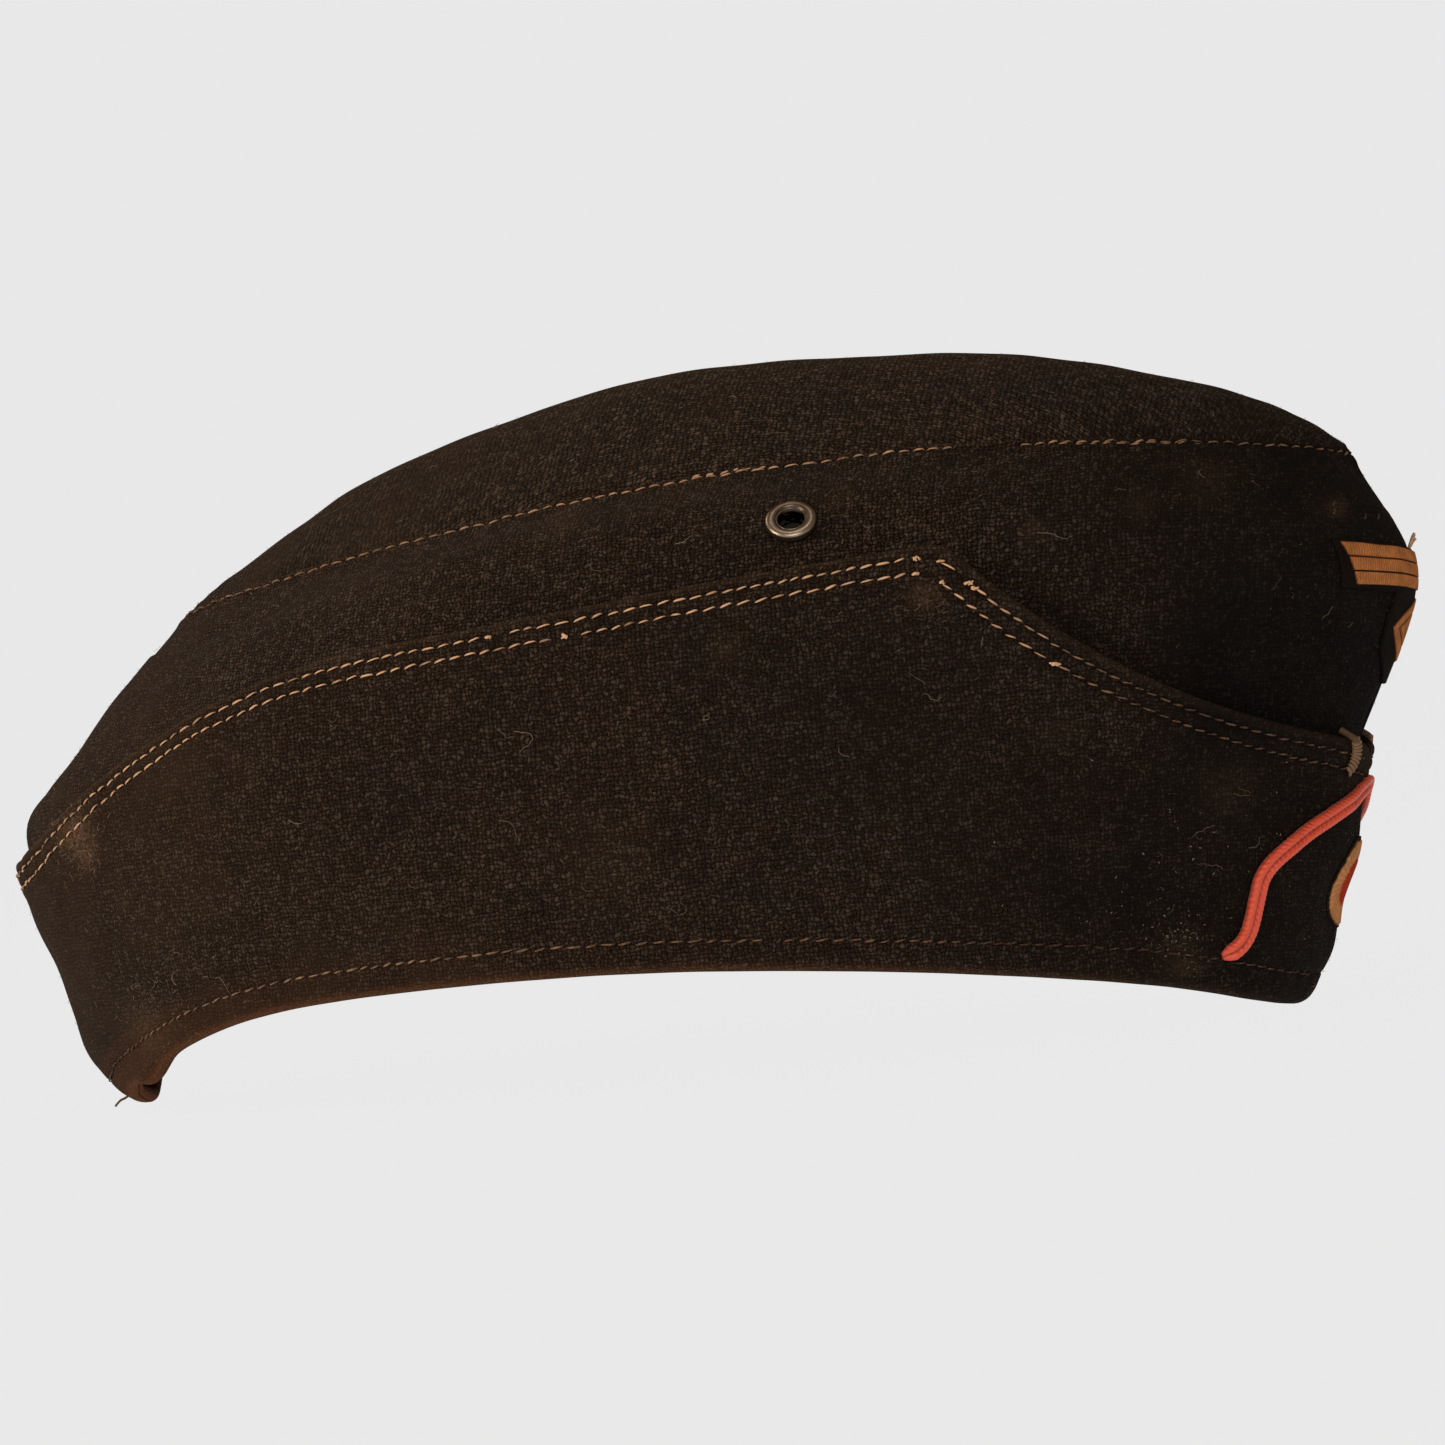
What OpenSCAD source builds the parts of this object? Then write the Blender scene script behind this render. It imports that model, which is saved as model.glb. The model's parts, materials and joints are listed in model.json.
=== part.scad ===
// Military side cap (garrison cap): wool body, boat-shaped crown, turned-up curtain.
// Millimetres. +X points to the front, +Y to the wearer's left, +Z up.
// The rim's front and rear ends stand on Z = 0.

/* [Rim] */
// Rim from rear seam to front seam, over the body wool
rim_length = 225; // [205:1:245]
// Rim across the ears, over the body wool
rim_width = 150; // [130:1:170]
// Height of the rim above its two ends, at the ears
rim_arch = 20; // [5:1:30]
// Where the rim's arch peaks, from the rear (0) to the front (1)
rim_arch_place = 0.42; // [0.3:0.01:0.6]

/* [Body outline] */
// How far the rear bulges behind the rim's rear end
rear_overhang = 16.5; // [8:0.5:25]
// Height of the rear bulge
rear_bulge_height = 45; // [35:1:55]
// Height of the crown seam's rear end
seam_rear_height = 92; // [80:1:105]
// How far ahead of the rim's rear end the crown seam ends
seam_rear_inset = 17; // [8:0.5:30]
// How far the front leans forward at the top of the curtain
front_lean = 16.5; // [8:0.5:24]
// Height at which front_lean is taken
front_lean_height = 45; // [35:1:55]
// How far the nose reaches ahead of the rim's front end
nose_overhang = 30; // [20:0.5:40]
// Height of the nose
nose_height = 74; // [64:1:82]
// Height of the crown seam's front end
seam_front_height = 99.5; // [90:0.5:110]
// How far behind the nose the crown seam ends
nose_setback = 9.5; // [2:0.5:15]

/* [Body widths and side heights] */
// Width at the widest level of the sides
bulge_width = 154; // [134:1:174]
// Height of the widest level at mid length
bulge_height = 46; // [38:1:54]
// Width where the sides start to lean in
upper_width = 148; // [128:1:168]
// Height of that level at mid length
upper_height = 74; // [66:1:80]
// Width at the eyelets' level
shoulder_width = 122; // [104:1:134]
// Height of the eyelets' level at mid length
shoulder_height = 96.5; // [90:0.5:100]
// Width of the crown at its seam
crown_width = 86; // [70:1:100]
// Height of the crown seam at mid length
seam_side_height = 107; // [103:0.5:114]
// Height of the crown's ridge
crown_height = 130.5; // [120:0.5:142]
// Sharpness of the front fold below the nose, 0 for a plain oval
front_fold = 0.3; // [0:0.05:0.4]

/* [Curtain] */
// Height of the curtain's top edge at the rear seam
curtain_rear_height = 46.5; // [38:0.5:56]
// Height of the curtain's peak at the side
curtain_peak_height = 91; // [80:0.5:94]
// Height of the curtain's top edge at the front seam
curtain_front_height = 47.5; // [38:0.5:54]
// Place of the peak from the rear (0) to the front (1)
curtain_peak_place = 0.634; // [0.55:0.002:0.7]
// How far the curtain's top edge stands off from the body, beyond its rim
curtain_flare = 1.6; // [0:0.1:4]
// How far the facing ends below the curtain's top edge
facing_setback = 2; // [1:0.5:5]

/* [Cloth] */
// Black body wool, crown and curtain
wool_thickness = 1.4; // [1:0.1:2]
// Cotton lining of body and crown
lining_thickness = 0.5; // [0.3:0.1:0.8]
// Cotton facing behind the curtain
facing_thickness = 0.5; // [0.3:0.1:0.8]
// Air between two plies
ply_gap = 0.15; // [0.05:0.05:0.3]
// Gap between panels that are sewn edge to edge
seam_gap = 0.1; // [0.05:0.05:0.3]

/* [Sweatband] */
// Height of the band inside the rim
band_height = 30; // [20:1:40]
// Thickness of the band
band_thickness = 1; // [0.6:0.1:1.6]
// How far the band starts above the rim's edge
band_inset = 2.5; // [1:0.5:6]

/* [Vent eyelets] */
// Distance of the eyelets ahead of the middle of the cap
eyelet_forward = 32; // [0:1:50]
// Height of the eyelets
eyelet_height = 97; // [94:0.5:99]
// Outer diameter of the flange
eyelet_outer = 9.4; // [8:0.1:12]
// Clear bore
eyelet_bore = 5; // [3.5:0.1:6]
// Sheet thickness of the barrel
eyelet_wall = 0.35; // [0.25:0.05:0.5]
// Height of the domed flange above the wool
eyelet_dome = 1.1; // [0.6:0.1:1.6]
// Outer diameter of the washer inside
washer_outer = 9; // [7.5:0.1:11]
// Sheet thickness of the washer
washer_thickness = 0.4; // [0.3:0.1:0.6]
// How far the curled barrel end overlaps the washer
curl_width = 0.8; // [0.4:0.1:1.2]
// Thickness of the curled barrel end
curl_height = 0.5; // [0.3:0.1:0.8]
// Clearance between barrel, cloth and washer
eyelet_clearance = 0.1; // [0.05:0.05:0.2]
// Room between the lining and the flat washer's rim
washer_seat = 0.2; // [0.1:0.05:0.4]

/* [Soutache braid] */
// Width of the braid
braid_width = 3.3; // [2.5:0.1:5]
// Height of its two ridges
braid_height = 1.5; // [1:0.1:2.5]
// Height of the inverted V's tip
braid_top = 40; // [34:0.5:42]
// Height of the braid's two ends
braid_foot = 10; // [6:0.5:14]
// Distance of each end from the front seam
braid_spread = 29.5; // [20:0.5:40]

/* [Cockade] */
// Diameter of the woven roundel with its dark border
cockade_diameter = 18; // [14:0.5:22]
// Height of its centre
cockade_height = 20.5; // [16:0.5:24]
// Thickness of the woven patch
cockade_thickness = 0.8; // [0.5:0.1:1.2]

/* [Front badge] */
// Width of the woven badge across the nose
badge_span = 48; // [36:1:56]
// Height of the top corners of its bars
badge_top = 84.5; // [80:0.5:88]
// How far the bars drop towards the middle
badge_droop = 3.5; // [0:0.5:6]
// Depth of its bars
badge_bar = 8.7; // [6:0.1:12]
// Height of the lowest point of its centre piece
badge_foot = 57; // [54:0.5:62]
// Width of its centre piece
badge_centre = 21; // [14:1:28]
// Thickness of the woven patch
badge_thickness = 0.8; // [0.5:0.1:1.2]

/* [Bar tacks] */
// Distance of each tack's foot from the front seam
tack_offset = 11.5; // [8:0.5:20]
// How far the tack slants outwards to its top
tack_slant = 4; // [0:0.5:6]
// Height of the tack's foot below the curtain's top edge
tack_length = 8.5; // [5:0.5:12]
// Thickness of the thread bar
tack_width = 1.8; // [1.2:0.1:2.5]

/* [Hidden] */
eps = 0.01;
curtain_inner = ply_gap;
facing_outer = curtain_inner + facing_thickness;
curtain_back = facing_outer + ply_gap;
curtain_outer = curtain_back + wool_thickness;
lining_outer = -(wool_thickness + ply_gap);
lining_inner = lining_outer - lining_thickness;
band_outer = lining_inner - ply_gap;
band_inner = band_outer - band_thickness;
badge_out = ply_gap + badge_thickness;

// The rim's rear and front ends, so that the cap's length is centred on X = 0.
rear_reach = rear_overhang + curtain_outer + curtain_flare;
front_reach = nose_overhang + badge_out;
rim_rear_x = rear_reach - (rear_reach + rim_length + front_reach) / 2;
rim_front_x = rim_rear_x + rim_length;
bulge_x = rim_rear_x - rear_overhang;
nose_x = rim_front_x + nose_overhang;
seam_rear_x = rim_rear_x + seam_rear_inset;
seam_front_x = nose_x - nose_setback;

// Share of the outline's bend taken between two measured levels.
low_share = 0.66;
rear_round = 5;

// Body levels from the rim up to the crown seam: rear x, rear z, front x, front z,
// half width, side height, place of the side's peak, sharpness of the front fold.
LEVELS = [
    [rim_rear_x, 0, rim_front_x, 0,
        rim_width / 2, rim_arch, rim_arch_place, front_fold],
    [rim_rear_x - low_share * rear_overhang, rear_bulge_height * 0.47,
        rim_front_x + front_lean * 0.53, front_lean_height * 0.49,
        bulge_width / 2, bulge_height, rim_arch_place + 0.03, front_fold],
    [bulge_x, rear_bulge_height, rim_front_x + front_lean, front_lean_height,
        upper_width / 2, upper_height, rim_arch_place + 0.04, front_fold * 0.9],
    [(bulge_x + seam_rear_x) / 2 - rear_round, (rear_bulge_height + seam_rear_height) / 2,
        nose_x, nose_height,
        shoulder_width / 2, shoulder_height, rim_arch_place + 0.07, front_fold * 0.25],
    [seam_rear_x, seam_rear_height, seam_front_x, seam_front_height,
        crown_width / 2, seam_side_height, rim_arch_place + 0.13, 0]
];

// Smooth curve through the levels, s from 0 to 1.
function blend(a, b, c, d, f) =
    0.5 * ((2 * b) + (c - a) * f + (2 * a - 5 * b + 4 * c - d) * f * f
    + (3 * b - a - 3 * c + d) * f * f * f);
function level(s) =
    let (n = len(LEVELS) - 1)
    let (k = max(0, min(floor(s * n), n - 1)))
    let (f = s * n - k)
    let (b = LEVELS[k])
    let (c = LEVELS[k + 1])
    let (a = k > 0 ? LEVELS[k - 1] : 2 * b - c)
    let (d = k < n - 1 ? LEVELS[k + 2] : 2 * c - b)
    blend(a, b, c, d, f);

// Point of the body's outer face: t runs round the cap from the rear seam (0) over
// the right side to the front seam (1) and back over the left side (2), h runs up.
bump_power = 0.76;
function body_raw(t, h) =
    let (v = level(h))
    let (c = cos(180 * t))
    let (m = (1 - c) / 2)
    let (rise = pow(abs(sin(180 * pow(m, ln(0.5) / ln(v[6])))), bump_power))
    let (side = v[5] - v[1] * (1 - v[6]) - v[3] * v[6])
    let (half = v[4] * (1 - v[7] * pow(m, 4)))
    [(v[0] + v[2]) / 2 - (v[2] - v[0]) / 2 * c,
        -half * sin(180 * t),
        v[1] * (1 - m) + v[3] * m + side * rise];
function unit(v) = v / norm(v);
function body_normal(t, h) =
    unit(cross(body_raw(t + eps, h) - body_raw(t - eps, h),
        body_raw(t, h + eps) - body_raw(t, h - eps)));
function raw_layer(t, h, out) = body_raw(t, h) + out * body_normal(t, h);

// Lift that stands the outermost ply of the rim on Z = 0.
lift = -min(raw_layer(0, 0, curtain_outer)[2], raw_layer(1, 0, curtain_outer)[2]);
function layer(t, h, out) = raw_layer(t, h, out) + [0, 0, lift];

// Level h at which a ply reaches height z, by halving.
function h_at(t, z, out, lo = 0, hi = 1, n = 13) =
    n == 0 ? (lo + hi) / 2
    : let (mid = (lo + hi) / 2)
    layer(t, mid, out)[2] < z ? h_at(t, z, out, mid, hi, n - 1)
    : h_at(t, z, out, lo, mid, n - 1);
// Place t at which a ply reaches length x on the right side, by halving.
function t_at_x(x, h, out, lo = 0, hi = 1, n = 13) =
    n == 0 ? (lo + hi) / 2
    : let (mid = (lo + hi) / 2)
    layer(mid, h, out)[0] < x ? t_at_x(x, h, out, mid, hi, n - 1)
    : t_at_x(x, h, out, lo, mid, n - 1);
// Place t near the front seam at which a ply reaches the side distance y.
function t_at_y(y, h, out, lo = 0.55, hi = 1.45, n = 14) =
    n == 0 ? (lo + hi) / 2
    : let (mid = (lo + hi) / 2)
    layer(mid, h, out)[1] < y ? t_at_y(y, h, out, mid, hi, n - 1)
    : t_at_y(y, h, out, lo, mid, n - 1);
// Point of a front ply at side distance y and height z, as [t, h].
function front_at(y, z, out, h = 0.4, n = 4) =
    let (t = t_at_y(y, h, out))
    let (g = h_at(t, z, out))
    n == 0 ? [t, g] : front_at(y, z, out, g, n - 1);
function side_at(x, z, out, h = 0.7, n = 4) =
    let (t = t_at_x(x, h, out))
    let (g = h_at(t, z, out))
    n == 0 ? [t, g] : side_at(x, z, out, g, n - 1);

// Closed solid between an outer and an inner grid of points, rows run up.
function flat(rows) = [for (r = rows) for (p = r) p];
module shell(outer, inner, loop = false) {
    rows = len(outer);
    cols = len(outer[0]);
    size = rows * cols;
    wrap = loop ? cols : cols - 1;
    skin = [for (j = [0 : rows - 2]) for (i = [0 : wrap - 1])
        let (a = j * cols + i)
        let (b = j * cols + (i + 1) % cols)
        each [[a, a + cols, b + cols], [a, b + cols, b],
            [size + a, size + b + cols, size + a + cols], [size + a, size + b, size + b + cols]]];
    foot = [for (i = [0 : wrap - 1])
        let (b = (i + 1) % cols)
        each [[i, b, size + b], [i, size + b, size + i]]];
    top = (rows - 1) * cols;
    head = [for (i = [0 : wrap - 1])
        let (a = top + i)
        let (b = top + (i + 1) % cols)
        each [[a, size + b, b], [a, size + a, size + b]]];
    ends = loop ? [] : [for (j = [0 : rows - 2])
        let (a = j * cols)
        let (b = a + cols - 1)
        each [[a, size + a, size + a + cols], [a, size + a + cols, a + cols],
            [b, b + cols, size + b + cols], [b, size + b + cols, size + b]]];
    polyhedron(points = concat(flat(outer), flat(inner)), faces = concat(skin, foot, head, ends));
}

// Columns round one side, with one column on the curtain's peak.
cols_rear = 23;
cols_front = 15;
t_first = seam_gap / 2 / (PI * rim_width / 2);
t_last = 1 - t_first / (1 - front_fold);
ROUND = concat(
    [for (i = [0 : cols_rear - 1]) t_first + (curtain_peak_place - t_first) * i / cols_rear],
    [for (i = [0 : cols_front])
        curtain_peak_place + (t_last - curtain_peak_place) * i / cols_front]);
body_rows = 10;
module body_ply(out, under, h0, h1) {
    shell([for (j = [0 : body_rows]) [for (t = ROUND) layer(t, h0 + (h1 - h0) * j / body_rows, out)]],
        [for (j = [0 : body_rows])
            [for (t = ROUND) layer(t, h0 + (h1 - h0) * j / body_rows, under)]]);
}

// Height of the curtain's top edge: a steady climb from the rear with an early rise,
// then a hollow fall to the front seam.
function ease(x) =
    let (s = max(0, min(1, x)))
    s * s * (3 - 2 * s);
peak_soft = 1.2;
function curtain_edge(t) =
    let (u = t / curtain_peak_place)
    let (v = (t - curtain_peak_place) / (1 - curtain_peak_place))
    let (a = curtain_rear_height
        + (curtain_peak_height - curtain_rear_height) * (0.5 * u + 0.5 * ease((u - 0.15) / 0.45)))
    let (b = curtain_front_height
        + (curtain_peak_height - curtain_front_height) * pow(max(0, 1 - v), 2.5))
    let (low = min(a, b))
    low - peak_soft * ln(exp((low - a) / peak_soft) + exp((low - b) / peak_soft));
edge_out = curtain_outer + curtain_flare;
EDGE = [for (t = ROUND) h_at(t, curtain_edge(t), edge_out)];
FACING_EDGE = [for (t = ROUND) h_at(t, curtain_edge(t) - facing_setback, edge_out)];
curtain_rows = 7;
function flared(t, h, edge, out) = layer(t, h, out + curtain_flare * pow(h / edge, 2));
module curtain_ply(out, under, top) {
    last = len(ROUND) - 1;
    shell([for (j = [0 : curtain_rows]) [for (i = [0 : last])
            flared(ROUND[i], top[i] * j / curtain_rows, EDGE[i], out)]],
        [for (j = [0 : curtain_rows]) [for (i = [0 : last])
            flared(ROUND[i], top[i] * j / curtain_rows, EDGE[i], under)]]);
}

// Crown: cross sections between the two seams, highest on the ridge.
ridge_place = 0.5;
ridge_power = 0.76;
camber = 1.4;
function ridge_z(m) =
    let (base = seam_rear_height * (1 - m) + seam_front_height * m)
    let (at_peak = seam_rear_height * (1 - ridge_place) + seam_front_height * ridge_place)
    lift + base + (crown_height - lift - at_peak)
    * pow(abs(sin(180 * pow(m, ln(0.5) / ln(ridge_place)))), ridge_power);
function crown_raw(t, v) =
    let (s = layer(t, 1, 0))
    let (m = (1 - cos(180 * t)) / 2)
    [s[0], s[1] * v, s[2] + (ridge_z(m) - s[2]) * (1 - pow(abs(v), camber))];
function crown_point(t, v, out) =
    crown_raw(t, v) + out * unit(cross(crown_raw(t, v - eps) - crown_raw(t, v + eps),
        crown_raw(t - eps, v) - crown_raw(t + eps, v)));
crown_cols = 34;
crown_rows = 12;
crown_tip = 0.022;
module crown_ply(out, under) {
    edge = 1 - 2 * seam_gap / crown_width;
    S = [for (i = [0 : crown_cols]) crown_tip + (1 - 2 * crown_tip) * i / crown_cols];
    V = [for (j = [0 : crown_rows]) edge * (1 - 2 * j / crown_rows)];
    shell([for (v = V) [for (t = S) crown_point(t, v, out)]],
        [for (v = V) [for (t = S) crown_point(t, v, under)]]);
}

// Eyelet on the right side, its axis along the cloth's normal.
eyelet_spot = side_at(eyelet_forward, eyelet_height, 0);
eyelet_point = layer(eyelet_spot[0], eyelet_spot[1], 0);
eyelet_axis = body_normal(eyelet_spot[0], eyelet_spot[1]);
barrel_radius = eyelet_bore / 2 + eyelet_wall;
cloth_depth = -lining_inner;
// The washer is flat and the lining is curved: it seats where its rim meets the lining.
function lining_drop(a) =
    let (r = washer_outer / 2)
    let (here = body_raw(eyelet_spot[0], eyelet_spot[1]))
    let (run = norm(body_raw(eyelet_spot[0] + eps, eyelet_spot[1]) - here))
    let (rise = norm(body_raw(eyelet_spot[0], eyelet_spot[1] + eps) - here))
    let (t = eyelet_spot[0] + eps * r / run * cos(a))
    let (h = eyelet_spot[1] + eps * r / rise * sin(a))
    (layer(t, h, lining_inner) - eyelet_point) * eyelet_axis;
washer_top = min([for (a = [0 : 45 : 315]) lining_drop(a)]) - washer_seat;
washer_foot = washer_top - washer_thickness;
curl_top = washer_foot - eyelet_clearance / 2;
curl_foot = curl_top - curl_height;
module at_eyelet() {
    translate(eyelet_point)
        rotate([0, acos(eyelet_axis[2]), atan2(eyelet_axis[1], eyelet_axis[0])])
            children();
}
module eyelet_hole() {
    at_eyelet()
        translate([0, 0, -cloth_depth - 3])
            cylinder(r = barrel_radius + eyelet_clearance, h = cloth_depth + 6, $fn = 48);
}
module eyelet() {
    color([0.33, 0.29, 0.24])
        at_eyelet()
            rotate_extrude($fn = 72)
                polygon([
                    [eyelet_bore / 2, curl_foot],
                    [barrel_radius + curl_width, curl_foot],
                    [barrel_radius + curl_width, curl_top],
                    [barrel_radius, curl_top],
                    [barrel_radius, ply_gap],
                    [eyelet_outer / 2, ply_gap],
                    [eyelet_outer / 2, ply_gap + eyelet_dome * 0.35],
                    [eyelet_outer / 2 - 0.35, eyelet_dome * 0.8],
                    [eyelet_outer / 2 - 0.9, eyelet_dome],
                    [barrel_radius + 0.45, eyelet_dome],
                    [barrel_radius, eyelet_dome * 0.85],
                    [eyelet_bore / 2, eyelet_dome * 0.5]]);
}
module washer() {
    color([0.36, 0.31, 0.25])
        at_eyelet()
            translate([0, 0, washer_foot])
                difference() {
                    cylinder(r = washer_outer / 2, h = washer_thickness, $fn = 72);
                    translate([0, 0, -1])
                        cylinder(r = barrel_radius + eyelet_clearance / 2,
                            h = washer_thickness + 2, $fn = 48);
                }
}

// Body
module side_panel_right() {
    color([0.13, 0.1, 0.08])
        difference() {
            body_ply(0, -wool_thickness, 0, 1 - seam_gap / 30);
            eyelet_hole();
        }
}
module side_panel_left() {
    mirror([0, 1, 0])
        side_panel_right();
}
module crown_panel() {
    color([0.14, 0.11, 0.08])
        crown_ply(0, -wool_thickness);
}
module lining_side_right() {
    color([0.36, 0.34, 0.3])
        difference() {
            body_ply(lining_outer, lining_inner, 0.03, 0.985);
            eyelet_hole();
        }
}
module lining_side_left() {
    mirror([0, 1, 0])
        lining_side_right();
}
module lining_crown() {
    color([0.36, 0.34, 0.3])
        crown_ply(lining_outer, lining_inner);
}

// Curtain
module curtain_right() {
    color([0.12, 0.09, 0.07])
        curtain_ply(curtain_outer, curtain_back, EDGE);
}
module curtain_left() {
    mirror([0, 1, 0])
        curtain_right();
}
module curtain_facing_right() {
    color([0.16, 0.14, 0.12])
        curtain_ply(facing_outer, curtain_inner, FACING_EDGE);
}
module curtain_facing_left() {
    mirror([0, 1, 0])
        curtain_facing_right();
}

// Sweatband: one closed band inside the rim
band_cols = 56;
band_rows = 3;
module sweatband() {
    T = [for (i = [0 : band_cols - 1]) 2 * (i + 0.5) / band_cols];
    FOOT = [for (t = T) h_at(t, layer(t, 0, band_outer)[2] + band_inset, band_outer)];
    HEAD = [for (t = T) h_at(t, layer(t, 0, band_outer)[2] + band_inset + band_height, band_outer)];
    color([0.3, 0.2, 0.12])
        shell([for (j = [0 : band_rows]) [for (i = [0 : band_cols - 1])
                layer(T[i], FOOT[i] + (HEAD[i] - FOOT[i]) * j / band_rows, band_outer)]],
            [for (j = [0 : band_rows]) [for (i = [0 : band_cols - 1])
                layer(T[i], FOOT[i] + (HEAD[i] - FOOT[i]) * j / band_rows, band_inner)]],
            loop = true);
}

// Soutache braid: an inverted V with a tight tip over the cockade
braid_rows = 30;
function braid_y(z) =
    let (u = (braid_top - z) / (braid_top - braid_foot))
    braid_spread * (0.92 * pow(1 - pow(1 - u, 2.8), 0.58) + 0.08 * pow(u, 6));
function curtain_out(t, h) =
    curtain_outer + curtain_flare * pow(h / h_at(t, curtain_edge(min(t, 2 - t)), edge_out), 2);
function braid_point(k) =
    let (s = abs(k))
    let (z = braid_top - (braid_top - braid_foot) * pow(s, 1.5))
    let (p = front_at(sign(k) * braid_y(z), z, curtain_outer))
    let (out = curtain_out(p[0], p[1]))
    [layer(p[0], p[1], out), body_normal(p[0], p[1])];
module soutache_braid() {
    K = [for (i = [0 : braid_rows]) -1 + 2 * i / braid_rows];
    P = [for (k = K) braid_point(k)];
    last = braid_rows;
    RING = [[-0.5, 0.1], [-0.5, 0.7], [-0.28, 1], [0, 0.75], [0.28, 1], [0.5, 0.7], [0.5, 0.1]];
    n = len(RING);
    POINTS = [for (i = [0 : last])
        let (dir = unit(P[min(last, i + 1)][0] - P[max(0, i - 1)][0]))
        let (across = unit(cross(dir, P[i][1])))
        for (r = RING) P[i][0] + across * r[0] * braid_width + P[i][1] * (r[1] * braid_height)];
    SKIN = [for (i = [0 : last - 1]) for (j = [0 : n - 1])
        let (a = i * n + j)
        let (b = i * n + (j + 1) % n)
        each [[a, b + n, a + n], [a, b, b + n]]];
    CAPS = [for (j = [1 : n - 2]) each [[0, j + 1, j],
        [last * n, last * n + j, last * n + j + 1]]];
    color([0.82, 0.33, 0.24])
        polyhedron(points = POINTS, faces = concat(SKIN, CAPS));
}

// Woven patches that follow the front
cockade_rings = 3;
cockade_spokes = 18;
function cockade_at(x, z, out) =
    let (p = front_at(x, z, curtain_outer))
    layer(p[0], p[1], curtain_out(p[0], p[1]) + out);
module cockade_patch() {
    RADII = [for (j = [0 : cockade_rings]) cockade_diameter / 2 * max(0.02, j / cockade_rings)];
    front = [for (r = RADII) [for (i = [0 : cockade_spokes - 1])
        let (a = 360 * i / cockade_spokes)
        cockade_at(r * cos(a), cockade_height + r * sin(a), ply_gap + cockade_thickness)]];
    back = [for (r = RADII) [for (i = [0 : cockade_spokes - 1])
        let (a = 360 * i / cockade_spokes)
        cockade_at(r * cos(a), cockade_height + r * sin(a), ply_gap)]];
    color([0.6, 0.45, 0.3])
        shell(back, front, loop = true);
}

// Badge: bars to both sides, centre piece narrowing downwards
badge_cols = 18;
BADGE = [
    [badge_foot, badge_centre * 0.12],
    [badge_foot + (badge_top - badge_bar - badge_foot) * 0.35, badge_centre * 0.42],
    [badge_foot + (badge_top - badge_bar - badge_foot) * 0.7, badge_centre * 0.5],
    [badge_top - badge_bar - 0.8, badge_centre * 0.5],
    [badge_top - badge_bar, badge_span / 2 - 1],
    [badge_top - badge_bar / 2, badge_span / 2 - 0.5],
    [badge_top, badge_span / 2]
];
function badge_at(y, z, out) =
    let (drop = badge_droop * (1 - abs(y) / (badge_span / 2)))
    let (p = front_at(y, z - drop * (z - badge_foot) / (badge_top - badge_foot), 0, 0.7))
    layer(p[0], p[1], out);
module badge_patch() {
    outer = [for (r = BADGE) [for (i = [0 : badge_cols])
        badge_at(r[1] * (2 * i / badge_cols - 1), r[0], badge_out)]];
    inner = [for (r = BADGE) [for (i = [0 : badge_cols])
        badge_at(r[1] * (2 * i / badge_cols - 1), r[0], ply_gap)]];
    color([0.62, 0.4, 0.22])
        shell(outer, inner);
}

// Bar tacks: short thread bars over the curtain's top edge, beside the front seam
tack_rows = 6;
tack_sides = 8;
module front_bar_tack_right() {
    t0 = t_at_y(-tack_offset - tack_slant, 0.45, edge_out);
    top = curtain_edge(t0) - 0.6;
    P = [for (i = [0 : tack_rows])
        let (z = top - tack_length * i / tack_rows)
        let (p = front_at(-tack_offset - tack_slant * (1 - pow(i / tack_rows, 0.7)), z, edge_out))
        [layer(p[0], p[1], curtain_out(p[0], p[1]) + tack_width * 0.42), body_normal(p[0], p[1])]];
    POINTS = [for (i = [0 : tack_rows])
        let (dir = unit(P[min(tack_rows, i + 1)][0] - P[max(0, i - 1)][0]))
        let (across = unit(cross(dir, P[i][1])))
        for (j = [0 : tack_sides - 1])
        let (a = 360 * j / tack_sides)
        P[i][0] + across * cos(a) * tack_width / 2 + P[i][1] * sin(a) * tack_width * 0.36];
    n = tack_sides;
    SKIN = [for (i = [0 : tack_rows - 1]) for (j = [0 : n - 1])
        let (a = i * n + j)
        let (b = i * n + (j + 1) % n)
        each [[a, a + n, b + n], [a, b + n, b]]];
    CAPS = [for (j = [1 : n - 2]) each [[0, j, j + 1],
        [tack_rows * n, tack_rows * n + j + 1, tack_rows * n + j]]];
    color([0.42, 0.34, 0.27])
        polyhedron(points = POINTS, faces = concat(SKIN, CAPS));
}
module front_bar_tack_left() {
    mirror([0, 1, 0])
        front_bar_tack_right();
}
module eyelet_right() {
    eyelet();
}
module eyelet_left() {
    mirror([0, 1, 0])
        eyelet();
}
module eyelet_washer_right() {
    washer();
}
module eyelet_washer_left() {
    mirror([0, 1, 0])
        washer();
}

side_panel_right();
side_panel_left();
crown_panel();
curtain_right();
curtain_left();
curtain_facing_right();
curtain_facing_left();
lining_side_right();
lining_side_left();
lining_crown();
sweatband();
eyelet_right();
eyelet_left();
eyelet_washer_right();
eyelet_washer_left();
soutache_braid();
cockade_patch();
badge_patch();
front_bar_tack_right();
front_bar_tack_left();
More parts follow.
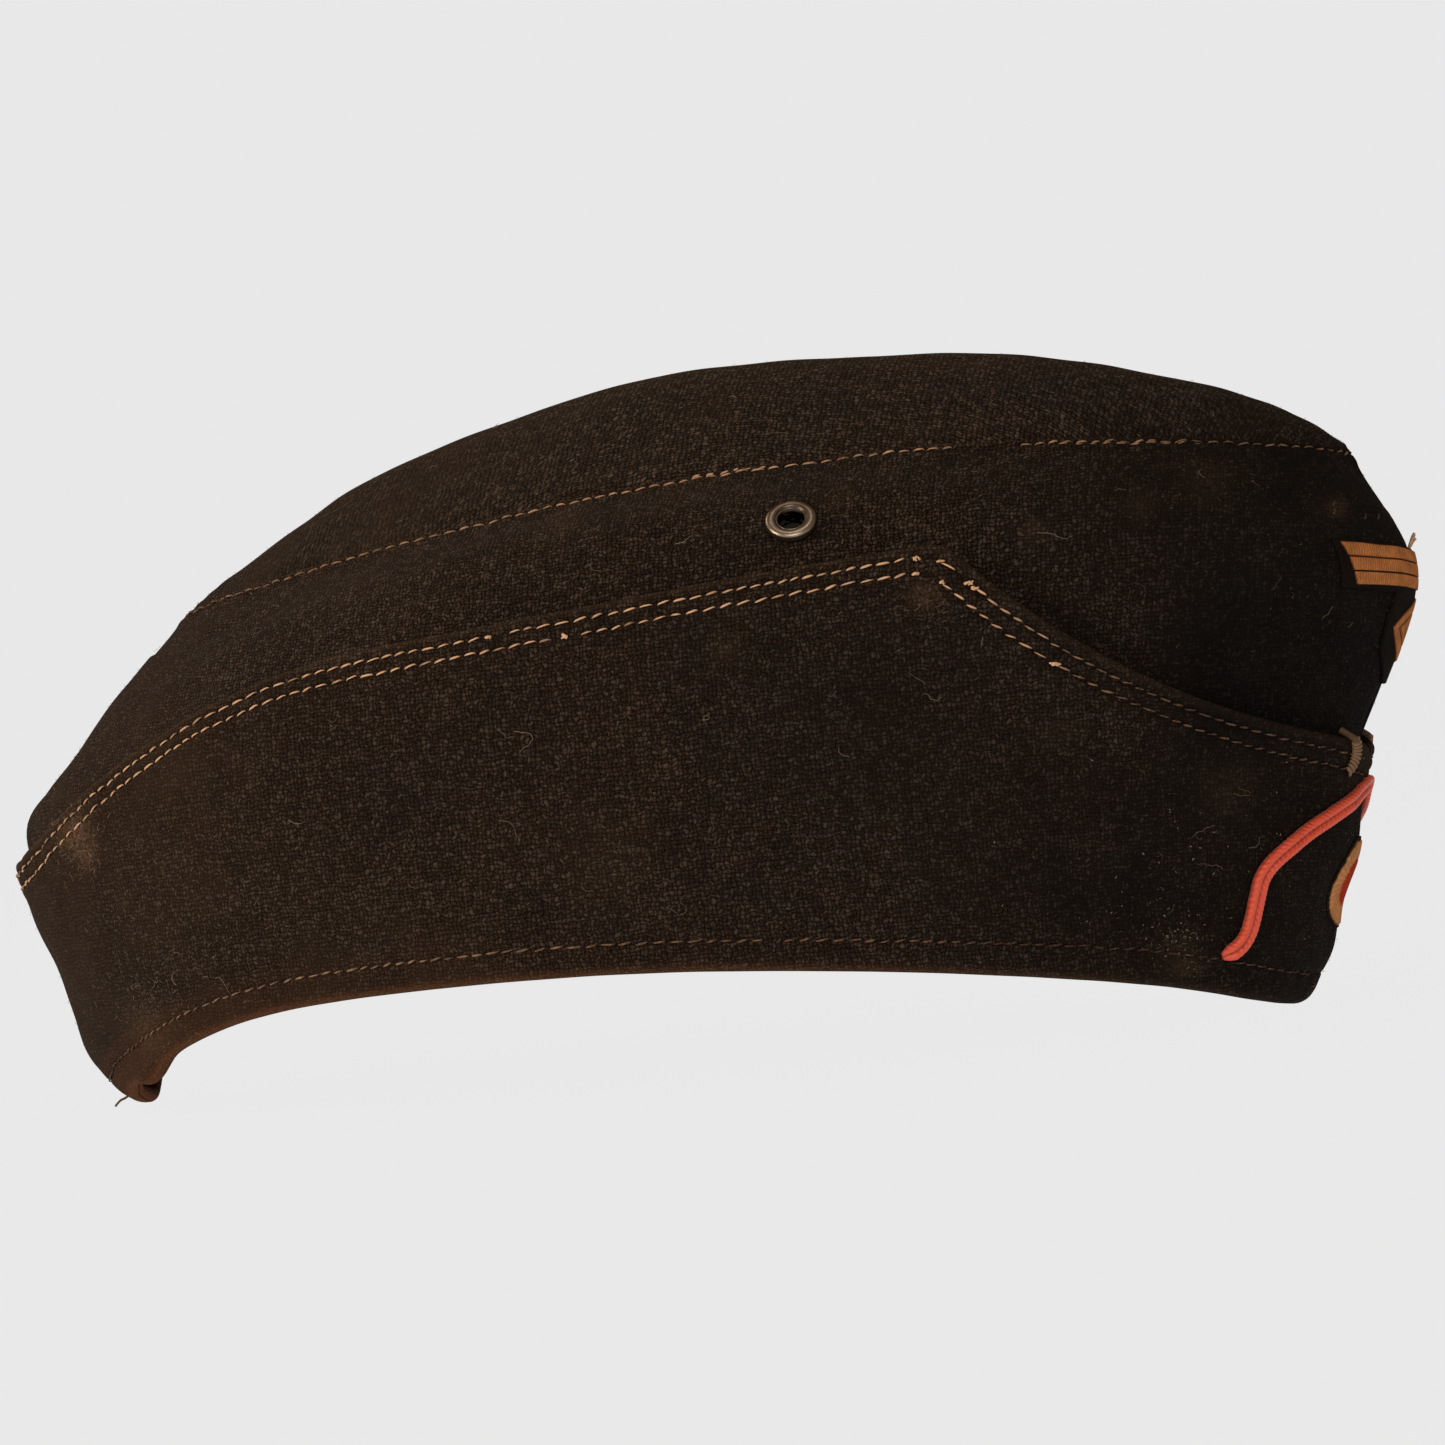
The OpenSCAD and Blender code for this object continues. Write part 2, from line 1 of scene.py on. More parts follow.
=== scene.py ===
import json
import bpy
import numpy as np
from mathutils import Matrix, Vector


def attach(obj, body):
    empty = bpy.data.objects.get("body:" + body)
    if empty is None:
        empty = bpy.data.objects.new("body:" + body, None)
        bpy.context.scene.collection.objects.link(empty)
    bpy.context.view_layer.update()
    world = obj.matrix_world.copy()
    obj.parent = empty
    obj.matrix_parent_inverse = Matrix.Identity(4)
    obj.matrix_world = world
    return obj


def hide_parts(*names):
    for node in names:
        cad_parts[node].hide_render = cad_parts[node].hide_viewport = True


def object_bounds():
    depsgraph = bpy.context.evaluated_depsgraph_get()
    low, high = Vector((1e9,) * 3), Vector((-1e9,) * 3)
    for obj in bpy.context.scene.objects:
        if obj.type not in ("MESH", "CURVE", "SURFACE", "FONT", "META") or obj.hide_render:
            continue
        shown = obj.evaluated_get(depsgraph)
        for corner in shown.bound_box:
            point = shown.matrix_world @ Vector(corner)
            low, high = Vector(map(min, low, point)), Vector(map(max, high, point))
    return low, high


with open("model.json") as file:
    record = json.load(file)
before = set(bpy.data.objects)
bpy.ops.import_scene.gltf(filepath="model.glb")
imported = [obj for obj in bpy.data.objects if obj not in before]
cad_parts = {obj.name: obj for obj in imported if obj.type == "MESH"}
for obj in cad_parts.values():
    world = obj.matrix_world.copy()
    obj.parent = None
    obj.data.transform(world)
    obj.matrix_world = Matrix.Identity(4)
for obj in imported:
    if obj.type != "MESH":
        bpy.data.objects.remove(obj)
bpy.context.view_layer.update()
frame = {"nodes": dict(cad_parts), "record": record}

MM = 0.001

# ---------------------------------------------------------------- sizes of the cap, in millimetres
# Rim: length, width, how far its sides arch up, and where along it the arch is highest
RIM_LENGTH, RIM_WIDTH, RIM_ARCH, RIM_ARCH_PLACE = 225.0, 150.0, 20.0, 0.42
# Rear: how far it bulges behind the rim and at what height, then the crown seam's rear end
REAR_OVERHANG, REAR_BULGE_HEIGHT = 16.5, 45.0
SEAM_REAR_HEIGHT, SEAM_REAR_INSET = 92.0, 17.0
# Front: lean above the rim, the nose that overhangs it, then the crown seam's front end
FRONT_LEAN, FRONT_LEAN_HEIGHT = 16.5, 45.0
NOSE_OVERHANG, NOSE_HEIGHT, NOSE_SETBACK, SEAM_FRONT_HEIGHT = 30.0, 74.0, 9.5, 99.5
# Widths of the body and the heights of its sides, from the bulge up to the crown seam
BULGE_WIDTH, BULGE_HEIGHT = 154.0, 46.0
UPPER_WIDTH, UPPER_HEIGHT = 148.0, 74.0
SHOULDER_WIDTH, SHOULDER_HEIGHT = 122.0, 96.5
CROWN_WIDTH, SEAM_SIDE_HEIGHT, CROWN_HEIGHT = 86.0, 107.0, 130.5
# Share by which the front pinches in
FRONT_FOLD = 0.3
# Turn-up: its height at the rear, at the peak and at the front, and where the peak stands
CURTAIN_REAR, CURTAIN_PEAK, CURTAIN_FRONT, CURTAIN_PEAK_PLACE = 46.5, 91.0, 47.5, 0.634
CURTAIN_FLARE, FACING_SETBACK = 1.6, 2.0
# Plies: wool, lining, facing, and the air between two plies
WOOL, LINING, FACING, PLY_GAP = 1.4, 0.5, 0.5, 0.15
# Sweatband
BAND_HEIGHT, BAND_THICKNESS, BAND_INSET = 30.0, 1.0, 2.5
# Braid: width, thickness, heights of its top and feet, half spread, the share of the way down at
# which it stops spreading, the feet's flare, the pitch of its plait and its sewing, and its rings
BRAID_WIDTH, BRAID_THICK, BRAID_TOP, BRAID_FOOT = 3.3, 1.5, 40.0, 11.1
BRAID_SPREAD, BRAID_KNEE, BRAID_FLARE = 25.8, 0.57, 2.8
BRAID_PLAIT, BRAID_STITCH, BRAID_RINGS = 0.95, 2.9, 1500
# Thickness of both woven patches
PATCH_THICK = 0.8
# Roundel: height of its place, how far it is sewn off that to the side and up, the radii of its
# centre, its ring and its ground, and the stitches round its ring
COCKADE_HEIGHT, COCKADE_ASIDE, COCKADE_ABOVE = 20.5, -1.3, 1.4
COCKADE_EYE, COCKADE_RING, COCKADE_EDGE, COCKADE_STITCHES = 4.2, 7.4, 8.1, 96
# Badge: span, top, droop of its middle, height of its bars, foot, and width below the bars
BADGE_SPAN, BADGE_TOP, BADGE_DROOP, BADGE_BAR = 48.0, 84.5, 3.5, 8.7
BADGE_FOOT, BADGE_CENTRE = 57.0, 21.0
# Bar tacks: distance from the front seam, slant, length, width and turns of the wrapping
TACK_OFFSET, TACK_SLANT, TACK_LENGTH, TACK_WIDTH, TACK_WRAPS = 11.5, 4.0, 8.5, 1.8, 10.5
# Eyelets: where along the cap and how high, flange, bore, barrel wall, the flange's height, and
# how far the clenched curl stands out from the barrel
EYELET_FORWARD, EYELET_HEIGHT, EYELET_OUTER, EYELET_BORE, EYELET_WALL = 32.0, 97.0, 9.4, 5.0, 0.35
EYELET_DOME, EYELET_CURL = 1.1, 0.8
# Topstitching: distances of its rows from the edges, pitch, a stitch's share of it, thread
ROW_UPPER, ROW_LOWER, ROW_HEM, ROW_CROWN_LAP = 2.4, 5.1, 5.8, 1.5
STITCH_PITCH, STITCH_SHARE, THREAD = 2.85, 0.72, 0.42

CURTAIN_IN = PLY_GAP + FACING + PLY_GAP
CURTAIN_OUT = CURTAIN_IN + WOOL
LINING_OUT = -(WOOL + PLY_GAP)
LINING_IN = LINING_OUT - LINING
BAND_OUT = LINING_IN - PLY_GAP
BAND_IN = BAND_OUT - BAND_THICKNESS

# ---------------------------------------------------------------- body shape
REAR_REACH = REAR_OVERHANG + CURTAIN_OUT + CURTAIN_FLARE
FRONT_REACH = NOSE_OVERHANG + PLY_GAP + PATCH_THICK
RIM_REAR = REAR_REACH - (REAR_REACH + RIM_LENGTH + FRONT_REACH) / 2
RIM_FRONT = RIM_REAR + RIM_LENGTH
BULGE_X = RIM_REAR - REAR_OVERHANG
NOSE_X = RIM_FRONT + NOSE_OVERHANG
SEAM_REAR_X = RIM_REAR + SEAM_REAR_INSET
SEAM_FRONT_X = NOSE_X - NOSE_SETBACK
SIDE_RUN, SIDE_RISE = 275.0, 108.0          # length of one side and height of a side panel
SEAM_REACH = 235.0                          # millimetres that one unit of t spans at the seams
# Share of the rear's overhang that the low level has, how round the rear is above it, the powers
# of the sides' arch, of the crown's ridge and of its camber, and the softness of the turn-up's peak
LOW_SHARE, REAR_ROUND, ARCH_POWER, RIDGE_POWER = 0.66, 5.0, 0.76, 0.76
CAMBER, PEAK_SOFT = 1.4, 1.2

# Each level, from the rim to the crown seam: rear x and z, front x and z, half width, height of
# the side, place of the highest point along it, and the front's pinch
LEVELS = np.array([
    [RIM_REAR, 0, RIM_FRONT, 0, RIM_WIDTH / 2, RIM_ARCH, RIM_ARCH_PLACE, FRONT_FOLD],
    [RIM_REAR - LOW_SHARE * REAR_OVERHANG, REAR_BULGE_HEIGHT * 0.47,
     RIM_FRONT + FRONT_LEAN * 0.53, FRONT_LEAN_HEIGHT * 0.49,
     BULGE_WIDTH / 2, BULGE_HEIGHT, RIM_ARCH_PLACE + 0.03, FRONT_FOLD],
    [BULGE_X, REAR_BULGE_HEIGHT, RIM_FRONT + FRONT_LEAN, FRONT_LEAN_HEIGHT,
     UPPER_WIDTH / 2, UPPER_HEIGHT, RIM_ARCH_PLACE + 0.04, FRONT_FOLD * 0.9],
    [(BULGE_X + SEAM_REAR_X) / 2 - REAR_ROUND, (REAR_BULGE_HEIGHT + SEAM_REAR_HEIGHT) / 2,
     NOSE_X, NOSE_HEIGHT,
     SHOULDER_WIDTH / 2, SHOULDER_HEIGHT, RIM_ARCH_PLACE + 0.07, FRONT_FOLD * 0.25],
    [SEAM_REAR_X, SEAM_REAR_HEIGHT, SEAM_FRONT_X, SEAM_FRONT_HEIGHT,
     CROWN_WIDTH / 2, SEAM_SIDE_HEIGHT, RIM_ARCH_PLACE + 0.13, 0]])


def unit(v):
    """Vectors at length one."""
    return v / (np.linalg.norm(v, axis=-1, keepdims=True) + 1e-12)


def size_of(v):
    """Lengths of vectors."""
    return np.linalg.norm(v, axis=-1)


def grids(*values):
    """Numbers and arrays as float arrays of one shape."""
    return np.broadcast_arrays(*[np.asarray(value, float) for value in values])


def nearer(t):
    """The same place on the right side: t there, and its mirror image on the left side."""
    return np.minimum(t, 2 - t)


def ease(x):
    """Smooth step from 0 to 1."""
    s = np.clip(x, 0, 1)
    return s * s * (3 - 2 * s)


def bump(x, width):
    """Bell of height one and the given half width."""
    return np.exp(-(x / width) ** 2)


def bumps(x, *rows):
    """Sum of bells: each row is one's height, place and half width."""
    return sum(height * bump(x - place, width) for height, place, width in rows)


def level(h):
    """The eight values of the level at height share h: a Catmull-Rom curve through LEVELS."""
    p = np.vstack([2 * LEVELS[0] - LEVELS[1], LEVELS, 2 * LEVELS[-1] - LEVELS[-2]])
    s = np.asarray(h, float) * 4
    k = np.clip(np.floor(s).astype(int), 0, 3)
    f = (s - k)[..., None]
    a, b, c, d = p[k], p[k + 1], p[k + 2], p[k + 3]
    return 0.5 * (2 * b + (c - a) * f + (2 * a - 5 * b + 4 * c - d) * f * f
                  + (3 * b - a - 3 * c + d) * f ** 3)


def hump(m, place):
    """0 at both ends and 1 at the given place of the length m, rounded by a power of a sine."""
    return np.abs(np.sin(np.pi * m ** (np.log(0.5) / np.log(place))))


def body_raw(t, h):
    """Half an oval per side: t runs from the rear seam (0) to the front seam (1) and on over the
    left side to the rear again (2); h runs from the rim (0) to the crown seam (1)."""
    t, h = grids(t, h)
    v = np.moveaxis(level(h), -1, 0)
    c = np.cos(np.pi * t)
    m = (1 - c) / 2
    side = v[5] - v[1] * (1 - v[6]) - v[3] * v[6]
    return np.stack([(v[0] + v[2]) / 2 - (v[2] - v[0]) / 2 * c,
                     -v[4] * (1 - v[7] * m ** 4) * np.sin(np.pi * t),
                     v[1] * (1 - m) + v[3] * m + side * hump(m, v[6]) ** ARCH_POWER], -1)


def body_normal(t, h, e=0.01):
    """Outward direction of the body shape, from the cross product of its two slopes."""
    return unit(np.cross(body_raw(t + e, h) - body_raw(t - e, h),
                         body_raw(t, h + e) - body_raw(t, h - e)))


def off_body(t, h, out):
    """A point at the distance out from the body shape, along its normal."""
    t, h, out = grids(t, h, out)
    return body_raw(t, h) + out[..., None] * body_normal(t, h) + [0, 0, LIFT]


# How far the shape is raised, so that its lower end stands on the ground
LIFT = 0.0
LIFT = -min(off_body(0.0, 0.0, CURTAIN_OUT)[2], off_body(1.0, 0.0, CURTAIN_OUT)[2])


def halve(low, high, below, times=18):
    """The place between low and high where below stops being true, by halving."""
    for _ in range(times):
        mid = (low + high) / 2
        under = below(mid)
        low, high = np.where(under, mid, low), np.where(under, high, mid)
    return (low + high) / 2


def height_at(t, z, out):
    """Height share h at which a ply reaches the height z."""
    t, z = grids(t, z)
    return halve(np.zeros(t.shape), np.ones(t.shape), lambda h: off_body(t, h, out)[..., 2] < z)


def place_at(axis, value, z, out, h, low, high, rounds=6):
    """Place t and height share h of the point of a ply with the given x or y, and z."""
    value, z = grids(value, z)
    h = np.full(value.shape, float(h))
    for _ in range(rounds):
        t = halve(np.full(h.shape, low), np.full(h.shape, high),
                  lambda s: off_body(s, h, out)[..., axis] < value)
        h = height_at(t, z, out)
    return t, h


def on_side(x, z, out=0.0):
    """Place on the right side at the distance x along the cap and the height z."""
    return place_at(0, x, z, out, 0.7, 0.0, 1.0)


def on_front(y, z, out, h=0.4):
    """Place near the front seam at the side distance y and the height z."""
    return place_at(1, y, z, out, h, 0.55, 1.45)


def curtain_top(t):
    """Height of the turn-up's top edge: two slopes that meet at a soft peak, less what the
    corners sink at both seams."""
    t = nearer(t)
    u = t / CURTAIN_PEAK_PLACE
    v = (t - CURTAIN_PEAK_PLACE) / (1 - CURTAIN_PEAK_PLACE)
    rear = CURTAIN_REAR + (CURTAIN_PEAK - CURTAIN_REAR) * (0.5 * u + 0.5 * ease((u - 0.15) / 0.45))
    front = CURTAIN_FRONT + (CURTAIN_PEAK - CURTAIN_FRONT) * np.maximum(0, 1 - v) ** 2.5
    low = np.minimum(rear, front)
    corner = bumps((1 - t) * SEAM_REACH, (2.6, 0, 4.0), (2.0, 0, 16.0))
    corner = corner + 1.2 * bump(t * SEAM_REACH, 3.0)
    return low - corner - PEAK_SOFT * np.log(np.exp((low - rear) / PEAK_SOFT)
                                             + np.exp((low - front) / PEAK_SOFT))


def crown_raw(t, v):
    """Crown: v runs across it from the left seam (-1) to the right seam (1), cambered between
    the seam's height and the ridge's."""
    t, v = grids(t, v)
    s = off_body(t, 1.0, 0.0)
    m = (1 - np.cos(np.pi * t)) / 2
    base = SEAM_REAR_HEIGHT * (1 - m) + SEAM_FRONT_HEIGHT * m
    middle = (SEAM_REAR_HEIGHT + SEAM_FRONT_HEIGHT) / 2
    ridge = LIFT + base + (CROWN_HEIGHT - LIFT - middle) * hump(m, 0.5) ** RIDGE_POWER
    return np.stack([s[..., 0], s[..., 1] * v,
                     s[..., 2] + (ridge - s[..., 2]) * (1 - np.abs(v) ** CAMBER)], -1)


def crown_normal(t, v, e=0.01):
    """Outward direction of the crown."""
    return unit(np.cross(crown_raw(t, v - e) - crown_raw(t, v + e),
                         crown_raw(t - e, v) - crown_raw(t + e, v)))


# ---------------------------------------------------------------- unevenness of worn cloth
def waves(seed, count, shortest, longest, turns=None):
    """Rows of wave numbers along and up, phase and weight, for a sum of sines whose lengths lie
    between shortest and longest. With turns, the first number fits round the cap a whole number
    of times."""
    rng = np.random.default_rng(seed)
    number = 2 * np.pi / rng.uniform(shortest, longest, count)
    angle = rng.uniform(0, 2 * np.pi, count)
    along, up = number * np.cos(angle), number * np.sin(angle)
    if turns:
        along = np.round(along * turns / (2 * np.pi)) * 2 * np.pi / turns
    return np.stack([along, up, rng.uniform(0, 2 * np.pi, count), rng.uniform(0.5, 1, count)])


def swell(table, x, y):
    """Sum of the sines of a table of waves, at about one unit of height."""
    along, up, phase, weight = table
    x, y = np.broadcast_arrays(x, y)
    total = np.zeros(x.shape)
    for k in range(len(phase)):
        total += weight[k] * np.sin(along[k] * x + up[k] * y + phase[k])
    return total / np.sqrt((weight ** 2).sum() / 2)


SLOW = waves(3, 9, 30, 80, 2 * SIDE_RUN)
QUICK = waves(5, 12, 11, 24, 2 * SIDE_RUN)
PUCKER = waves(7, 9, 4.2, 8.5)
CROWN_SLOW = waves(9, 8, 34, 80)
CROWN_QUICK = waves(11, 10, 11, 22)

EYELET_T, EYELET_H = on_side(EYELET_FORWARD, EYELET_HEIGHT)


def eyelet_distance(t, h):
    """Distance in millimetres from the nearer eyelet's middle."""
    return size_of(off_body(nearer(t), h, 0.0) - off_body(EYELET_T, EYELET_H, 0.0))


# What wear has filled out and hollowed up both ends and along the crown, as rows of bells: depth
# in mm, place and half width. Up the ends the places are in mm, and along the crown they are t.
FRONT_WEAR = ((2.3, 12, 9), (1.3, 31, 7.5), (-1.5, 74, 8), (0.8, 97, 7))
REAR_WEAR = ((2.8, 12, 9), (-0.5, 32, 10), (4.2, 62, 8))
CROWN_WEAR = ((1.7, 0.8, 0.13), (1.0, 0.33, 0.1), (-0.7, 0.53, 0.08))


def ripple(t, h):
    """Slow and quick unevenness of the body, still at the crown seam and round the eyelets, and
    the fuller and hollower stretches that wear has pressed into both ends."""
    x, y = t * SIDE_RUN, h * SIDE_RISE
    still = ease((1 - h) * SIDE_RISE / 12) * (1 - bump(eyelet_distance(t, h), 8.0))
    ends = bumps(y, *FRONT_WEAR) * bump((t - 1) * SEAM_REACH, 34)
    ends = ends + bumps(y, *REAR_WEAR) * bump(nearer(t) * SEAM_REACH, 26)
    return ends + still * (0.34 * swell(SLOW, x, y) + 0.11 * swell(QUICK, x, y))


def rim_pull(t, h):
    """How far wear has pulled the cloth up or down, in full at the rim and no more from half way
    up: a little along the right side, and well up beside the rear seam on the left side. Near the
    rear seam the right side's fold droops too, with no cloth above it."""
    right = bumps(t, (1.3, 0.27, 0.08), (-0.4, 0.53, 0.12), (-1.1, 0.92, 0.09))
    left = 6.2 * ease((t - 1.73) / 0.15) * ease((1.996 - t) / 0.03) - 1.1 * bump(t - 1.08, 0.09)
    droop = 3.0 * bump(t - 0.152, 0.025) * bump(h, 0.035)
    return np.where(t < 1, right, left) * (1 - ease(h / 0.5)) - droop


def cloth(t, h, out):
    """A point of a ply of the body: the body shape, the distance out along its normal, the
    unevenness that all plies share, and the pull on the rim."""
    t, h, out = grids(t, h, out)
    point = off_body(t, h, out + ripple(t, h))
    point[..., 2] += rim_pull(t, h)
    return point


def crown_cloth(t, v, out):
    """A point of a ply of the crown, with its own unevenness, still at the seam."""
    x, y = t * SIDE_RUN, v * CROWN_WIDTH / 2
    still = ease((1 - np.abs(v)) * 3)
    uneven = 0.28 * swell(CROWN_SLOW, x, y) + 0.1 * swell(CROWN_QUICK, x, y)
    out = out + bumps(t, *CROWN_WEAR) * (1 - v ** 2) + still * uneven
    return crown_raw(t, v) + out[..., None] * crown_normal(t, v)


# ---------------------------------------------------------------- meshes
def shell(outer, inner, keep=None):
    """Two grids of points, one over the other, closed into one solid: the cells that keep names
    on both, and a wall down every edge that only one kept cell has."""
    nu, nv = outer.shape[:2]
    at = np.arange(nu * nv).reshape(nu, nv)
    keep = np.ones((nu - 1, nv - 1), bool) if keep is None else keep
    cells = np.stack([at[:-1, :-1], at[1:, :-1], at[1:, 1:], at[:-1, 1:]], -1)[keep]
    k = np.pad(keep, 1)
    walls = []
    for start, end, before, after in ((at[1:, :], at[:-1, :], k[1:-1, :-1], k[1:-1, 1:]),
                                      (at[:, :-1], at[:, 1:], k[:-1, 1:-1], k[1:, 1:-1])):
        wall = np.stack([start, end, end + nu * nv, start + nu * nv], -1)
        walls += [wall[after & ~before], wall[before & ~after][:, ::-1]]
    points = np.concatenate([outer.reshape(-1, 3), inner.reshape(-1, 3)])
    return points, np.concatenate([cells, cells[:, ::-1] + nu * nv] + walls)


def outward(points, quads):
    """The faces turned over if the solid they close is inside out: its signed volume says so."""
    a, b, c, d = (points[quads[:, k]] for k in range(4))
    volume = np.einsum("ij,ij->", a, np.cross(b, c)) + np.einsum("ij,ij->", a, np.cross(c, d))
    return quads if volume > 0 else quads[:, ::-1]


def piece(name, points, quads, material, slot, stands_for=(), uv=None, marks=None):
    """A mesh in the part's frame from points in millimetres and faces of four corners, where a
    repeated last corner makes a triangle. uv is in millimetres along and up the cloth, and marks
    are the values of the attributes that the material reads."""
    used, index = np.unique(quads, return_inverse=True)
    points, quads = points[used], index.reshape(quads.shape)
    quads = outward(points, quads)
    sides = np.where(quads[:, 2] == quads[:, 3], 3, 4)
    corners = quads[np.arange(4)[None, :] < sides[:, None]]
    starts = np.concatenate([[0], np.cumsum(sides)[:-1]])
    mesh = bpy.data.meshes.new(name)
    mesh.vertices.add(len(points))
    mesh.vertices.foreach_set("co", (points * MM).astype(np.float32).ravel())
    mesh.loops.add(len(corners))
    mesh.loops.foreach_set("vertex_index", corners.astype(np.int32))
    mesh.polygons.add(len(quads))
    mesh.polygons.foreach_set("loop_start", starts.astype(np.int32))
    mesh.polygons.foreach_set("use_smooth", np.ones(len(quads), bool))
    mesh.update(calc_edges=True)
    if uv is not None:
        layer = mesh.uv_layers.new(name="cloth")
        layer.data.foreach_set("uv", uv[used][corners].astype(np.float32).ravel())
    for label, values in (marks or {}).items():
        mark = mesh.attributes.new(label, "FLOAT", "POINT")
        mark.data.foreach_set("value", values[used].astype(np.float32))
    mesh.validate()
    mesh.materials.append(material)
    thing = bpy.data.objects.new(name, mesh)
    bpy.context.scene.collection.objects.link(thing)
    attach(thing, "root")
    if stands_for:
        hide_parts(*stands_for)


def grain(points, start):
    """Millimetres along and up a grid of cloth. Along is measured level from the middle of the
    cap and up is measured square to it, so that the weave stands upright, as a panel is cut."""
    plan = points[..., :2]
    along = np.concatenate([0 * points[:1, :, 0], np.cumsum(size_of(np.diff(plan, axis=0)), axis=0)])
    middle = np.abs(points[..., 0]).argmin(0)[None, :]
    zero = np.take_along_axis(along - points[..., 0], middle, 0)
    level_way = unit(np.gradient(plan, axis=0))[:, 1:]
    rise = np.diff(points, axis=1)
    rise[..., :2] -= (rise[..., :2] * level_way).sum(-1)[..., None] * level_way
    up = np.cumsum(size_of(rise), axis=1) + points[:, :1, start]
    return np.stack([along - zero, np.concatenate([points[:, :1, start], up], 1)], -1)


def ply(name, outer, inner, material, slot, stands_for, keep=None, marks=None, start=2, uv=None):
    """One ply of cloth from its outer and inner grid. marks and uv are given on the outer grid,
    and where uv isn't, start is the axis that the weave's first row is measured on."""
    points, quads = shell(outer, inner, keep)
    uv = grain(outer, start) if uv is None else uv
    both = {}
    for label, values in (marks or {}).items():
        both[label] = np.tile(np.broadcast_to(values, outer.shape[:2]).ravel(), 2)
    piece(name, points, quads, material, slot, [stands_for], np.tile(uv.reshape(-1, 2), (2, 1)), both)


def loop_faces(rings, sides):
    """Faces of a closed section carried along a path, each end closed by a fan."""
    at = np.arange(rings * sides).reshape(rings, sides)
    beside = np.roll(at, -1, 1)
    skin = np.stack([at[:-1], beside[:-1], beside[1:], at[1:]], -1).reshape(-1, 4)
    fan = np.array([[0, k, k + 1, k + 1] for k in range(1, sides - 1)])
    return np.concatenate([skin, fan[:, [0, 2, 1, 1]], fan + (rings - 1) * sides])


def tube(paths, normals, radius, sides, squash=1.0):
    """Round threads carried along paths. paths and normals are (threads, rings, 3), radius is
    (threads, rings) or one number."""
    count, rings = paths.shape[:2]
    ahead = unit(np.gradient(paths, axis=1))
    across = unit(np.cross(ahead, normals))
    up = unit(np.cross(across, ahead))
    turn = 2 * np.pi * np.arange(sides)[:, None] / sides
    radius = np.broadcast_to(radius, (count, rings))[..., None, None]
    ring = np.cos(turn) * across[:, :, None] + squash * np.sin(turn) * up[:, :, None]
    points = paths[:, :, None] + radius * ring
    first = (np.arange(count) * rings * sides)[:, None, None]
    return points.reshape(-1, 3), (loop_faces(rings, sides)[None] + first).reshape(-1, 4)


def join(*parts):
    """Several (points, quads) as one."""
    offset, points, quads = 0, [], []
    for p, q in parts:
        points.append(p)
        quads.append(q + offset)
        offset += len(p)
    return np.concatenate(points), np.concatenate(quads)


def walked(line):
    """Distance walked along a line at each of its points."""
    return np.concatenate([[0], np.cumsum(size_of(np.diff(line, axis=0)))])


def resampled(places, known, line):
    """Points of a line at new places, where known are the places of its own points."""
    return np.stack([np.interp(places, known, line[:, k]) for k in range(3)], -1)


def softened(line, count):
    """The running mean of a line over an odd count of its points."""
    rows = np.pad(line, ((count // 2, count // 2), (0, 0)), mode="edge")
    return np.stack([np.convolve(rows[:, k], np.ones(count) / count, "valid") for k in range(3)], -1)


# ---------------------------------------------------------------- finishes
def colour(code, alpha=1.0):
    """sRGB hex to linear."""
    c = np.array([int(code[k:k + 2], 16) for k in (0, 2, 4)]) / 255
    return (*np.where(c <= 0.04045, c / 12.92, ((c + 0.055) / 1.055) ** 2.4), alpha)


def add(tree, kind, *values, out=None, **more):
    """Adds a node and gives one of its outputs, the first in use unless out names another. kind is
    its type and, after a space, its operation or data type. values fill the inputs in use, in
    order. In more, a name with a capital is an input, with _ for a space, and any other is a
    property."""
    kind, _, way = kind.partition(" ")
    made = tree.nodes.new("ShaderNode" + kind)
    if way:
        setattr(made, "operation" if hasattr(made, "operation") else "data_type", way)
    for key in more:
        if key[0].islower():
            setattr(made, key, more[key])
    given = list(zip([socket for socket in made.inputs if socket.enabled], values))
    given += [(made.inputs[key.replace("_", " ")], more[key]) for key in more if key[0].isupper()]
    for socket, value in given:
        if isinstance(value, bpy.types.NodeSocket):
            tree.links.new(value, socket)
        else:
            socket.default_value = value
    return made.outputs[out] if out else next((s for s in made.outputs if s.enabled), None)


def finish(name, build, **shader):
    """A material with one Principled shader: build gives it a colour, a normal and so on."""
    material = bpy.data.materials.new(name)
    material.use_nodes = True
    tree = material.node_tree
    tree.nodes.clear()
    add(tree, "OutputMaterial", add(tree, "BsdfPrincipled", **build(tree), **shader))
    return material


# In all finishes a noise takes a place, then its lumps to a unit, its detail and its roughness.
# On the map called cloth a unit is a millimetre, and on Object coordinates it is a metre.
# Rubbed fuzz, rust-brown faded dye and near-black grime. Where the pieces set them, the first also serves
# as painted highlight, the second as painted light and the third as painted shade.
RUBBED_AND_HIGHLIGHT, RUST_AND_LIGHT, GRIME_AND_SHADE = "86674A", "88481F", "0E0A07"


